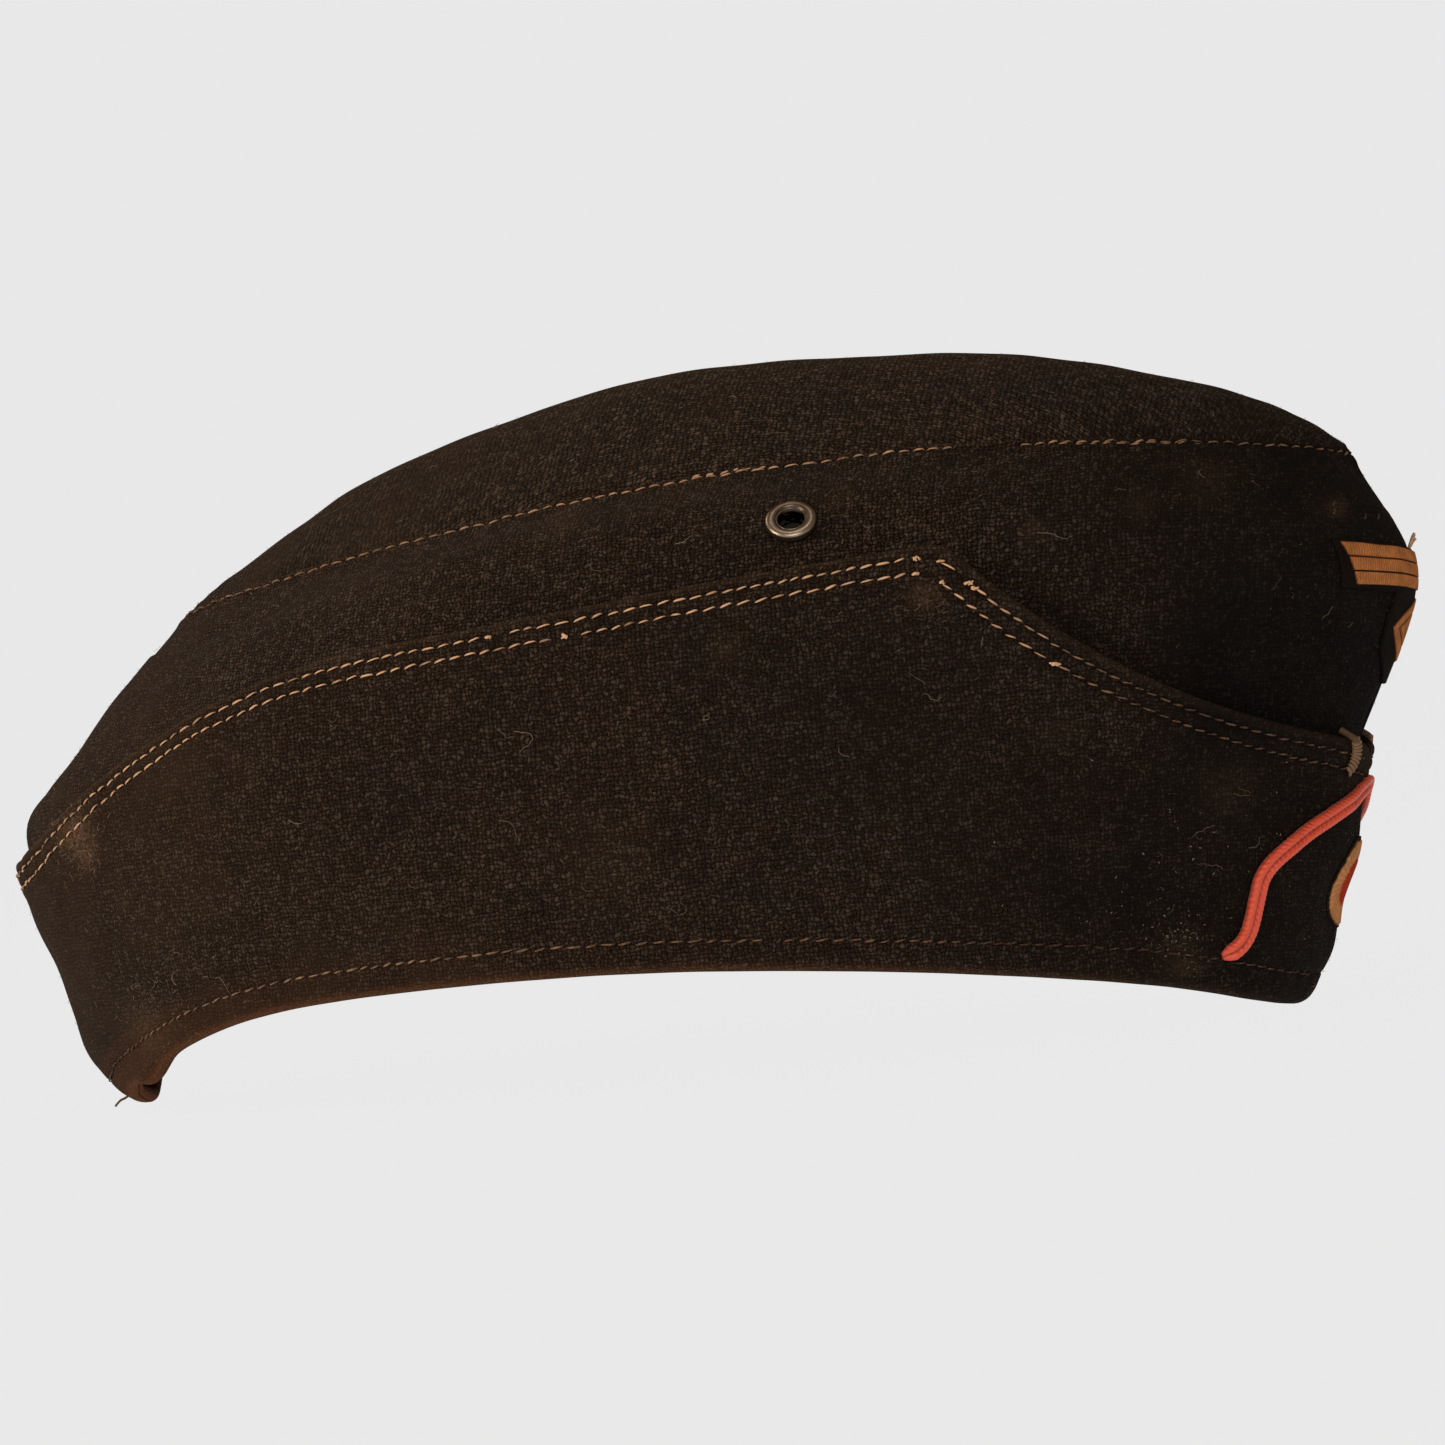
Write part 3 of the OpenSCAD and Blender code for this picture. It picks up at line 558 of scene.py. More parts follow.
def woven_wool(deep, mid, fibre_and_glint, pitch, contrast):
    """Plain-weave wool, fulled and worn. The eye gets rows of small rounded thread tops of very
    uneven brightness over near-black gaps: painted highlight on the tops and painted shade in the
    gaps. Then come stray pale fibres, brown fading, pale fuzz where it is rubbed and rust-brown where
    a fold has lost its dye. The fading value also carries painted shade towards the front, and
    where it is lowest the weave's painted shading is faint and the threads hardly show, as relief
    does in deep shade. Real threads lie about 0.6 mm apart, too fine to show, so they are drawn
    coarser, at pitch. A thread top is |sin| along by |sin| across, each to a power that makes it
    longer one way and then the other by turns."""
    def build(tree):
        uv = add(tree, "UVMap", uv_map="cloth")
        stray = add(tree, "TexNoise", uv, 0.6, 3.0, out="Color")
        bent = add(tree, "VectorMath MULTIPLY_ADD", stray, (2.1, 2.1, 0.0), uv)
        count = add(tree, "VectorMath MULTIPLY", bent, (1 / pitch,) * 3)
        phase = add(tree, "VectorMath MULTIPLY", count, (np.pi,) * 3)
        sine = add(tree, "VectorMath SINE", phase)
        rounds = add(tree, "VectorMath ABSOLUTE", sine)
        turn = add(tree, "Math MULTIPLY", *(add(tree, "SeparateXYZ", sine, out=axis) for axis in "XY"))
        turn = add(tree, "MapRange", turn, -0.3, 0.3, 0.45, 1.3)
        back = add(tree, "Math SUBTRACT", 1.75, turn)
        warp = add(tree, "Math POWER", add(tree, "SeparateXYZ", rounds, out="X"), turn)
        weft = add(tree, "Math POWER", add(tree, "SeparateXYZ", rounds, out="Y"), back)
        thread = add(tree, "Math MULTIPLY", warp, weft)
        # Painted highlight and shade of the weave: tops bright over dark gaps, and each top its own
        # highlight, most dim and a few bright
        cell = add(tree, "VectorMath FLOOR", count)
        dot = add(tree, "TexWhiteNoise", cell, noise_dimensions="2D")
        lit = add(tree, "Math MULTIPLY", add(tree, "Math POWER", dot, 2.2), thread)
        fine = add(tree, "TexNoise", uv, 3.4, 2.0, 0.75)
        fine = add(tree, "MapRange", fine, 0.32, 0.68, 0.1, 1.9)
        tone = add(tree, "MapRange", thread, 0.0, 1.0, 0.36, 1.3)
        tone = add(tree, "Math MULTIPLY_ADD", lit, 0.8, tone)
        tone = add(tree, "Math MULTIPLY", tone, fine)
        # Faint mottling a few threads wide, and slow fading over the panel, which also carries painted
        # shade
        mottle = add(tree, "TexNoise", uv, 0.16, 3.0)
        mottle = add(tree, "MapRange", mottle, 0.3, 0.7, 0.9, 1.1)
        cloud = add(tree, "TexNoise", uv, 0.025, 5.0, 0.62)
        fade_and_shade = add(tree, "Attribute", attribute_name="fade_and_shade", out="Fac")
        fade_and_shade_level = add(tree, "MapRange", add(tree, "Math ADD", cloud, fade_and_shade), 0.2, 1.15)
        # Painted shade: the weave's painted contrast is cut where the fading value is lowest, at the shaded
        # front, and eased where it is highest
        clear = add(tree, "MapRange", fade_and_shade_level, 0.08, 0.48, 0.4, 1.1 * contrast)
        smooth = add(tree, "MapRange", fade_and_shade_level, 0.62, 0.85, 1.0, 0.4)
        clear = add(tree, "Math MULTIPLY", clear, smooth)
        tone = add(tree, "Mix FLOAT", clear, 0.9, tone, clamp_factor=False)
        tone = add(tree, "Math MAXIMUM", tone, 0.0)
        tone = add(tree, "Math MULTIPLY", tone, mottle)
        base = add(tree, "Mix RGBA", fade_and_shade_level, colour(deep), colour(mid))
        base = add(tree, "VectorMath SCALE", base, tone)
        # A painted highlight greys the brightest tops, in the pale colour of the fibres that streak along
        # the threads
        painted_glint = add(tree, "Math MULTIPLY", lit, clear)
        painted_glint = add(tree, "Math MULTIPLY", painted_glint, 0.12)
        fibres = []
        for stretch in ((1.0, 3.0, 1.0), (3.0, 1.0, 1.0)):
            drawn = add(tree, "VectorMath MULTIPLY", uv, stretch)
            fibres.append(add(tree, "TexNoise", drawn, 1.7, 3.0, 0.7))
        fibre = add(tree, "Math MAXIMUM", *fibres)
        fleck = add(tree, "MapRange", fibre, 0.66, 0.84, 0.0, 0.5)
        fleck = add(tree, "Math ADD", fleck, painted_glint)
        base = add(tree, "Mix RGBA", fleck, base, colour(fibre_and_glint))
        # Fuzz that has lost its dark dye, then rust-brown, each broken up by grit. The marks that pick them
        # also carry painted highlight on rounded edges and painted light inside the rim's fold.
        grit = add(tree, "TexNoise", uv, 1.4, 6.0, 0.75)
        grit = add(tree, "MapRange", grit, 0.38, 0.68)
        for mark, code, least in (("wear_and_highlight", RUBBED_AND_HIGHLIGHT, 0.0), ("rust_and_light", RUST_AND_LIGHT, 0.45)):
            worn = add(tree, "Attribute", attribute_name=mark, out="Fac")
            share = add(tree, "MapRange", grit, 0.0, 1.0, least, 1.0)
            share = add(tree, "Math MULTIPLY", worn, share)
            base = add(tree, "Mix RGBA", share, base, colour(code))
        relief = add(tree, "Math MULTIPLY_ADD", fibre, 0.6, thread)
        relief = add(tree, "Math MULTIPLY_ADD", fine, 0.2, relief)
        normal = add(tree, "Bump", Height=relief, Strength=0.85, Distance=0.3 * MM)
        return {"Base_Color": base, "Normal": normal}
    return build


def clouded(code, patch, size, depth, amount=1.0):
    """A colour clouded by a second one, with a grain of the given size and depth in millimetres.
    The clouds are eight grains wide. The soiling attribute, where a piece has it, darkens to a
    near-black that stands for grime and painted shade."""
    def build(tree):
        at = add(tree, "TexCoord", out="Object")
        cloud = add(tree, "TexNoise", at, 1 / (size * 8 * MM), 4.0)
        cloud = add(tree, "MapRange", cloud, 0.35, 0.7, 0.0, amount)
        fine = add(tree, "TexNoise", at, 1 / (size * MM), 5.0)
        base = add(tree, "Mix RGBA", cloud, colour(code), colour(patch))
        soil_and_shade = add(tree, "Attribute", attribute_name="soil_and_shade", out="Fac")
        base = add(tree, "Mix RGBA", soil_and_shade, base, colour(GRIME_AND_SHADE))
        normal = add(tree, "Bump", Height=fine, Strength=0.6, Distance=depth * MM)
        return {"Base_Color": base, "Normal": normal}
    return build


def twisted_thread(dark, light):
    """Sewing thread, as the eye gets it: uneven in tone from stitch to stitch, with fine fibres
    0.45 mm long that break the colour up. The attribute shade runs from dark to clean; on the rows it
    carries soiling and painted shade, dimmer where the cap lies in shade and towards each stitch's
    ends. The twist itself is too fine to show."""
    def build(tree):
        at = add(tree, "TexCoord", out="Object")
        shade = add(tree, "Attribute", attribute_name="shade", out="Fac")
        fuzz = add(tree, "TexNoise", at, 1 / (0.45 * MM), 4.0)
        mix = add(tree, "Math MULTIPLY_ADD", fuzz, 0.7, shade)
        mix = add(tree, "Math SUBTRACT", mix, 0.35)
        base = add(tree, "Mix RGBA", mix, colour(dark), colour(light))
        normal = add(tree, "Bump", Height=fuzz, Strength=0.7, Distance=0.1 * MM)
        return {"Base_Color": base, "Normal": normal}
    return build


def plaited_rayon(light, dark):
    """Rayon soutache: a smooth lustrous plait, soiled in patches 2.2 mm wide. The groove attribute
    darkens the seam between the two cords, where the sewing thread lies, and the cords' outer edges:
    painted shade in both. A slanting wave darkens the plait's ridges by turns, painted shade of their
    relief."""
    def build(tree):
        at = add(tree, "TexCoord", out="Object")
        uv = add(tree, "UVMap", uv_map="cloth")
        groove_shade = add(tree, "Attribute", attribute_name="groove_shade", out="Fac")
        soil_and_shade = add(tree, "TexNoise", at, 1 / (2.2 * MM), 5.0)
        wave = add(tree, "TexWave", uv, 0.55, 1.2, 2.0, bands_direction="DIAGONAL")
        wave = add(tree, "Math MULTIPLY", wave, 0.35)
        mix = add(tree, "Math MULTIPLY_ADD", soil_and_shade, 0.8, groove_shade)
        mix = add(tree, "Math ADD", mix, wave)
        mix = add(tree, "MapRange", mix, 0.6, 1.5)
        base = add(tree, "Mix RGBA", mix, colour(light), colour(dark))
        normal = add(tree, "Bump", Height=wave, Strength=0.7, Distance=0.15 * MM)
        return {"Base_Color": base, "Normal": normal}
    return build


def satin_stitch(tones, ground, ribs, strength=1.0):
    """Machine embroidery: close satin stitches on a dark ground. The attribute tone picks the
    colour, from the ground at 0 through the tones at 1, 2 and so on, and ribs is how many
    stitches lie in a millimetre. Strength is how much they stand out."""
    def build(tree):
        uv = add(tree, "UVMap", uv_map="cloth")
        stray = add(tree, "TexNoise", uv, 1.3, 3.0)
        across = add(tree, "SeparateXYZ", uv, out="X")
        lines = add(tree, "Math MULTIPLY_ADD", stray, 0.9, across)
        lines = add(tree, "Math MULTIPLY", lines, 2 * np.pi * ribs)
        lines = add(tree, "Math SINE", lines)
        tone = add(tree, "Attribute", attribute_name="tone", out="Fac")
        base = colour(ground)
        for step, code in enumerate(tones):
            share = add(tree, "Math SUBTRACT", tone, float(step), use_clamp=True)
            base = add(tree, "Mix RGBA", share, base, colour(code))
        # Painted highlight and shade: each stitch is brighter along its crest and darker at its sides, then
        # broken up by soiling.
        shine = add(tree, "MapRange", lines, -1.0, 1.0, 1.0 - 0.28 * strength, 1.12)
        soil_and_shade = add(tree, "TexNoise", uv, 0.35, 5.0)
        soil_and_shade = add(tree, "MapRange", soil_and_shade, 0.3, 0.7, 0.72, 1.12)
        shine = add(tree, "Math MULTIPLY", shine, soil_and_shade)
        base = add(tree, "VectorMath SCALE", base, shine)
        normal = add(tree, "Bump", Height=lines, Strength=0.6 * strength, Distance=0.12 * MM)
        return {"Base_Color": base, "Normal": normal}
    return build


# Fulled wool is matt, with almost no gloss and a faint warm bloom at its edges
MATT = {"Roughness": 0.95, "Specular_IOR_Level": 0.12, "Sheen_Weight": 0.03, "Sheen_Roughness": 0.5,
        "Sheen_Tint": colour("6B5540")}
BODY_WOOL = finish("fulled_wool_body", woven_wool("100C09", "3A2A1D", "8C8278", 0.82, 1.5), **MATT)
CROWN_WOOL = finish("fulled_wool_crown", woven_wool("100C09", "37281B", "8C8278", 0.98, 1.9), **MATT)
CURTAIN_WOOL = finish("fulled_wool_turn_up", woven_wool("100C09", "3A2A1D", "8C8278", 0.82, 1.15),
                      **MATT)
# Plain cotton gives a dull brown with a fine grain, and cotton thread a low gloss
SEWN = {"Roughness": 0.75, "Specular_IOR_Level": 0.3}
LINING_COTTON = finish("cotton_lining", clouded("30261B", "3C3022", 0.8, 0.12), **SEWN)
FACING_COTTON = finish("cotton_facing", clouded("2A251E", "363026", 0.8, 0.12), **SEWN)
THREAD_TAN = finish("twisted_cotton_thread", twisted_thread("3C281B", "E8BA92"), **SEWN)
THREAD_GREY = finish("waxed_tack_thread", twisted_thread("2E2218", "96765A"), **SEWN)
LINT = finish("wool_and_dust_fibre", twisted_thread("3E3226", "B49E86"), **SEWN)
# Tanned leather, dark where it has been sweated through, with some gloss
BAND_LEATHER = finish("leather_sweatband", clouded("4A2F1C", "2E1B10", 1.2, 0.15), Roughness=0.5)
# Rolled steel with a thin bronze finish: warm grey glints, dark where the finish is worn, and
# near-black down the bore and beside the lip: grime and painted shade
EYELET_METAL = finish("bronzed_steel", clouded("BCAA98", "3C3026", 1.1, 0.02, 0.8), Metallic=1.0,
                      Roughness=0.35, Specular_Tint=colour("9A7048"))
# Rayon is glossier than wool: a soft bright line runs down each cord
BRAID_RAYON = finish("plaited_rayon", plaited_rayon("FF6040", "A83214"), Roughness=0.38,
                     Specular_IOR_Level=0.5, Sheen_Weight=0.1)
# Woven patches are nearly matt
WOVEN = {"Roughness": 0.9, "Specular_IOR_Level": 0.08}
ROUNDEL = finish("woven_rayon_roundel", satin_stitch(("D9945E", "C43A1C"), "221913", 1.1, 0.5), **WOVEN)
BADGE = finish("woven_cotton_badge", satin_stitch(("D0844C",), "1C1510", 2.0), **WOVEN)

# ---------------------------------------------------------------- cloth panels
# Columns beside a seam, in mm from it. The first is almost on it, so that the two sides meet.
END_STEPS = np.array([0.001, 0.35, 0.7, 1.1, 1.6, 2.3, 3.2])


def columns(step):
    """Places t along one side: listed near both seams and evenly between them."""
    near = END_STEPS / SEAM_REACH
    gap = near[-1] + step / SEAM_REACH
    return np.concatenate([near, np.linspace(gap, 1 - gap, int(SIDE_RUN / step)), 1 - near[::-1]])


def end_dip(t):
    """How far the cloth and its rows sink at the rear and front seams."""
    return 0.75 * bump(np.minimum(nearer(t), np.abs(1 - t)) * SEAM_REACH, 1.1)


ROUND = columns(1.05)[:, None]
SEAM_DIP = end_dip(ROUND)


def place(side, t):
    """Place t on the right side, or its mirror image on the left side."""
    return t if side == "right" else 2 - t


def slopes(t):
    """Millimetres per unit of height share at the rim and at the crown seam, and per unit of
    the crown's width at the seam."""
    rim = size_of(body_raw(t, 0.02) - body_raw(t, 0.0)) / 0.02
    rise = size_of(body_raw(t, 1.0) - body_raw(t, 0.99)) / 0.01
    across = size_of(crown_raw(t, 1.0) - crown_raw(t, 0.97)) / 0.03
    return rim, rise, across


def past_seam(t, d, out):
    """A point d millimetres past the crown seam, or below it where d is negative. The two
    shapes' normals are blended, so that a ply passes over the seam in one bend."""
    _, rise, across = slopes(t)
    h = 1 + np.minimum(d, 0) / rise
    v = 1 - np.minimum(np.maximum(d, 0) / across, 0.9)
    side = np.where(t > 1, -1, 1)
    base = np.where((d > 0)[..., None], crown_raw(t, v), body_raw(t, h) + [0, 0, LIFT])
    way = ease((d + 3.0) / 4.5)[..., None]
    over = crown_normal(nearer(t), side * np.minimum(v, 0.985))
    return base + out[..., None] * unit((1 - way) * body_normal(t, h) + way * over)


def spot_wear(points, spots):
    """Rubbed spots: the strength of each falls off with the distance from its middle."""
    wear_and_highlight = np.zeros(points.shape[:-1])
    for x, z, radius, strength in spots:
        far = np.hypot(points[..., 0] - x, points[..., 2] - z)
        wear_and_highlight = np.maximum(wear_and_highlight, strength * bump(far, radius) * (points[..., 1] < 0))
    return wear_and_highlight


# Rubbed spots of the right side: x, z, radius and strength
BODY_SPOTS = ((104.1, 97.5, 4.0, 0.12), (92.8, 93.9, 3.0, 0.12), (74.7, 91.1, 2.0, 0.2),
              (-13.0, 102.4, 4.0, 0.2), (126.1, 90.2, 1.8, 0.4), (40.0, 101.0, 2.5, 0.15))
CURTAIN_SPOTS = ((-113.0, 53.6, 3.6, 1.0), (-111.0, 50.0, 2.6, 0.8), (55.4, 81.4, 2.2, 0.5),
                 (90.3, 12.6, 4.0, 0.15), (91.4, 9.9, 2.5, 0.3), (-5.2, 40.3, 9.0, 0.1),
                 (75.9, 54.9, 3.0, 0.12), (20.4, 75.0, 2.5, 0.15), (-94.0, 42.0, 12.0, 0.12),
                 (103.0, 40.7, 5.0, 0.12), (-104.0, 16.0, 6.0, 0.35))


def panel_fade_and_shade(t, h):
    """Brown fading of a side panel: strongest at the rear and a little stronger higher up. Towards the
    front the value drops below none, which is painted shade.
    """
    t = nearer(t)
    return 0.5 * (1 - t) ** 2.2 + 0.1 * h - 0.36 * ease((t - 0.6) / 0.3)


def curtain_fade_and_shade(t, h):
    """Brown fading of the turn-up: the rear is palest, and the value rises a little just above the rim.
    Towards the front it drops, which is painted shade.
    """
    t = nearer(t)
    return 0.6 * (1 - t) ** 2 + 0.03 - 0.21 * ease((t - 0.6) / 0.3) + 0.1 * bump(h, 0.08)


def side_panel(side):
    """Side panel: a ply from the rim to the crown seam, whose folded top edge laps the crown.
    Its topstitching sinks into a groove, and the cloth beside it swells and puckers."""
    t = place(side, ROUND)
    _, rise, _ = slopes(t)
    low = np.linspace(0.034, 0.5, 16)[None, :] + 0 * t
    high = 0.5 + (0.5 - 12.8 / rise) * np.linspace(0, 1, 34)[None, 1:]
    h = np.concatenate([low, high], 1)
    d = np.concatenate([np.arange(-11.5, -4, 1.3), [-3.6, -2.9, -2.3, -1.8, -1.3, -0.9, -0.6, -0.4,
                        -0.2, 0, 0.2, 0.4, 0.6, 0.8, 1.0, 1.2, 1.35, 1.45, ROW_CROWN_LAP]])[None, :]
    t2, d2 = np.broadcast_arrays(t, d)
    lap = np.clip((d2 - 0.8) / (ROW_CROWN_LAP - 0.8), 0, 1)
    curl = np.sqrt(1 - lap ** 2)
    out = seam_relief(t2, d2)
    out = np.where(d2 > 0.8, -0.3 + (out + 0.3) * curl, out) - SEAM_DIP
    under = np.where(d2 > -0.3, -0.72, -WOOL) + 0 * out
    under = np.where(d2 > 0.8, -0.34 + (under + 0.34) * curl, under)
    outer = np.concatenate([cloth(t, h, -SEAM_DIP), past_seam(t2, d2, out)], 1)
    inner = np.concatenate([cloth(t, h, -WOOL), past_seam(t2, d2, under)], 1)
    hh = np.concatenate([h, 1 + np.minimum(d2, 0) / rise], 1)
    far = eyelet_distance(t, hh)
    keep = (far[:-1, :-1] + far[1:, 1:]) / 2 > 3.6
    # Paler fuzz along the lap's folded edge, strongest at the rear: rubbed wool, and also a painted
    # highlight on the fold. Rubbed spots add more.
    edge = np.concatenate([0 * h, 0.35 * bump(d2 - 1.1, 0.5) * (1 - ROUND)], 1)
    wear_and_highlight = np.maximum(edge, spot_wear(outer, BODY_SPOTS))
    ply("side_panel_cloth_" + side, outer, inner, BODY_WOOL, "body_wool",
        "side_panel_" + side, keep, {"fade_and_shade": panel_fade_and_shade(t, hh), "wear_and_highlight": wear_and_highlight})


def seam_relief(t, d):
    """Rise of the side panel's face d millimetres past the crown seam: the stitched groove, the
    swelling on both sides of it, and puckers along it."""
    pucker = 0.16 * swell(PUCKER, t * SIDE_RUN, d * 0.25) * bump(d + 0.6, 3.2)
    return bumps(d, (-0.42, 0, 0.42), (0.18, 0.85, 0.5), (0.2, -1.5, 1.0)) + pucker


def crown_panel():
    """Crown: one boat-shaped ply that dips under the side panels' laps."""
    t = np.linspace(0.012, 0.988, 230)[:, None]
    v = (1 - 0.3 / CROWN_WIDTH) * np.sin(np.linspace(-np.pi / 2, np.pi / 2, 78))[None, :]
    t2, v2 = np.broadcast_arrays(t, v)
    d = (1 - np.abs(v2)) * slopes(t)[2]
    pucker = 0.12 * swell(PUCKER, t2 * SIDE_RUN, np.sign(v2) * 9) * bump(d - 2.5, 3.0)
    outer = crown_cloth(t2, v2, -0.85 * bump(d, 2.6) + pucker)
    inner = crown_cloth(t2, v2, -WOOL + 0 * v2)
    # Fading of the crown, palest at the rear; its drop towards the front is painted shade
    fade_and_shade = 0.55 * (1 - t2) ** 1.6 + 0.1 - 0.1 * ease((t2 - 0.7) / 0.3)
    ply("crown_cloth", outer, inner, CROWN_WOOL, "body_wool", "crown_panel", start=1,
        marks={"fade_and_shade": fade_and_shade, "wear_and_highlight": 0.12 * bump(v2, 0.25)})


EDGE_OUT = CURTAIN_OUT + CURTAIN_FLARE


def edge_share(t, down=0.0):
    """Height share of the turn-up's top edge, or of a place below it."""
    return height_at(nearer(t), curtain_top(t) - down, EDGE_OUT)


def face(t, h):
    """Distance of the turn-up's outer face from the body."""
    return CURTAIN_OUT + CURTAIN_FLARE * (h / edge_share(t)) ** 2


EDGE_H = edge_share(ROUND)
# Rows of the turn-up, in mm below its top edge and above its rim, close together at the stitching
EDGE_ROWS = np.array([9.0, 7.6, 6.9, 6.3, 5.8, 5.5, 5.3, 5.1, 4.9, 4.6, 4.2, 3.7, 3.3, 2.9, 2.65, 2.4,
                      2.15, 1.9, 1.5, 1.15, 0.8, 0.5, 0.28, 0.12, 0.03, 0.0])
RIM_ROWS = np.array([0.0, 0.03, 0.12, 0.3, 0.6, 1.0, 1.4, 1.8, 2.4, 3.2, 4.0, 4.6, 4.95, 5.25, 5.5,
                     5.75, 6.05, 6.5, 7.2, 8.2])
# Rows between those, radius of the rim's fold, and how far the fold hangs below the body's rim
MIDDLE_ROWS, FOLD, RIM_DROP = 32, 1.8, 0.9


def flared(t, h, edge, out):
    """A point of the turn-up, which stands away from the body towards its top edge."""
    return cloth(t, h, out + CURTAIN_FLARE * (h / edge) ** 2)


def edge_relief(t, top):
    """Rise of the turn-up's face at a distance below its top edge: two stitched grooves, the
    padded edge over them, and puckers."""
    pucker = 0.15 * swell(PUCKER, t * SIDE_RUN, 0.25 * top) * bump(top - 3.8, 3.4)
    return bumps(top, (0.1, 1.3, 0.7), (0.14, 3.85, 0.8), (0.2, 6.3, 0.6),
                 (-0.42, ROW_UPPER, 0.36), (-0.42, ROW_LOWER, 0.36)) + pucker


def hem_rise(t):
    """How far the hem's row climbs towards the front, where the hem is wider."""
    return 0.8 * ease((nearer(t) - 0.6) / 0.2)


def rim_relief(t, rim):
    """Rise of the turn-up's face at a distance above its rim: the hem's stitched groove, the
    padded fold below it, and puckers."""
    pucker = 0.13 * swell(PUCKER, t * SIDE_RUN + 40, 0.25 * rim) * bump(rim - 5, 2.8)
    return 0.3 * bump(rim - 3.0, 1.8) - 0.35 * bump(rim - ROW_HEM - hem_rise(t), 0.4) + pucker


def curtain(side):
    """Turn-up: a ply folded round the rim and turned in at its top edge. Its face and its back
    close in quarter circles at both, and its corners thin out at the seams."""
    t = place(side, ROUND)
    grow, _, _ = slopes(t)
    rim_h = (RIM_ROWS[None, :] - RIM_DROP) / grow
    edge_h = height_at(t, curtain_top(t) - EDGE_ROWS[None, :], EDGE_OUT)
    way = (np.arange(MIDDLE_ROWS) + 1)[None, :] / (MIDDLE_ROWS + 1)
    h = np.concatenate([rim_h, rim_h[:, -1:] + (edge_h[:, :1] - rim_h[:, -1:]) * way, edge_h], 1)
    far_off = np.full(MIDDLE_ROWS, 99.0)
    rim = np.concatenate([RIM_ROWS, far_off, 0 * EDGE_ROWS + 99])[None, :] + 0 * h
    top = np.concatenate([0 * RIM_ROWS + 99, far_off, EDGE_ROWS])[None, :] + 0 * h
    out = CURTAIN_OUT + edge_relief(t, top) + rim_relief(t, rim) - 0.4 * SEAM_DIP
    middle = CURTAIN_IN + WOOL / 2
    tip = np.sqrt(np.clip(1 - (1 - np.minimum(top, 0.9) / 0.9) ** 2, 0, 1))
    out = middle + (out - middle) * tip
    under = middle - (WOOL / 2 + 0.12 * bump(top, 6.0)) * tip
    bend = np.sqrt(np.clip(1 - (1 - np.minimum(rim, FOLD) / FOLD) ** 2, 0, 1))
    rim_middle = (CURTAIN_OUT - WOOL) / 2
    out = np.where(rim < FOLD, rim_middle + (out - rim_middle) * bend, out)
    under = np.where(rim < 3.2, rim_middle - (rim_middle + WOOL) * bend, under)
    corner = bump((1 - ROUND) * SEAM_REACH, 9.0) + 0.9 * bump(ROUND * SEAM_REACH, 6.0)
    pressed = 0.9 * bump(ROUND * SEAM_REACH, 16) * np.clip(h / EDGE_H, 0, 1) ** 5
    taper = 1.3 * corner * (1 - np.minimum(top / 4.5, 1)) ** 2 + pressed
    outer, inner = flared(t, h, EDGE_H, out - taper), flared(t, h, EDGE_H, under - taper)
    # Paler fuzz along the top edge and round the rim's fold, strongest at the rear: rubbed wool, and also a
    # painted highlight on these rounded edges. Rubbed spots and the top corners at the front seam add more.
    wear_and_highlight = 0.3 * bump(top - 0.5, 0.8) * (0.2 + 0.8 * (1 - ROUND))
    wear_and_highlight = wear_and_highlight + bump(rim - 0.2, 0.9) * (1 - ROUND) ** 0.8
    wear_and_highlight = np.maximum(wear_and_highlight, spot_wear(outer, CURTAIN_SPOTS))
    wear_and_highlight = np.maximum(wear_and_highlight, 0.4 * bump((1 - ROUND) * SEAM_REACH, 12) * bump(top - 1, 5))
    # Rust-brown where the rim's fold has lost its dye, strongest at the rear. The marks lie on both faces
    # of the ply, so inside the fold, which lies in shade, the same colour is painted light.
    tail = (1 - ROUND) ** 3
    rust_and_light = np.maximum(0.9 * bump(rim, 1.5) * tail ** 0.6, 0.36 * bump(rim, 11) * tail ** 2)
    ply("curtain_cloth_" + side, outer, inner, CURTAIN_WOOL, "curtain_wool", "curtain_" + side,
        marks={"fade_and_shade": curtain_fade_and_shade(t, h), "wear_and_highlight": wear_and_highlight, "rust_and_light": rust_and_light})


def inner_plies(side):
    """Lining and facing: thin cotton plies that follow the same unevenness as the wool."""
    fine = columns(2.1)[:, None]
    t = place(side, fine)
    h = np.concatenate([np.linspace(0.03, 0.6, 26), np.linspace(0.6, 0.992, 40)[1:]])[None, :]
    far = eyelet_distance(t, h)
    keep = (far[:-1, :-1] + far[1:, 1:]) / 2 > 3.4
    ply("lining_cloth_" + side, cloth(t, h, LINING_OUT), cloth(t, h, LINING_IN),
        LINING_COTTON, "lining_cotton", "lining_side_" + side, keep)
    edge, top = edge_share(fine), edge_share(fine, FACING_SETBACK)
    h = 0.036 + (top - 0.036) * np.linspace(0, 1, 34)[None, :]
    outer, inner = flared(t, h, edge, PLY_GAP + FACING), flared(t, h, edge, PLY_GAP)
    ply("facing_cloth_" + side, outer, inner, FACING_COTTON, "facing_cotton", "curtain_facing_" + side)


def crown_lining():
    """Crown lining, a ply under the crown."""
    t = np.linspace(0.03, 0.97, 120)[:, None]
    v = 0.985 * np.sin(np.linspace(-np.pi / 2, np.pi / 2, 50))[None, :]
    t, v = np.broadcast_arrays(t, v)
    ply("lining_cloth_crown", crown_cloth(t, v, LINING_OUT), crown_cloth(t, v, LINING_IN),
        LINING_COTTON, "lining_cotton", "lining_crown", start=1)


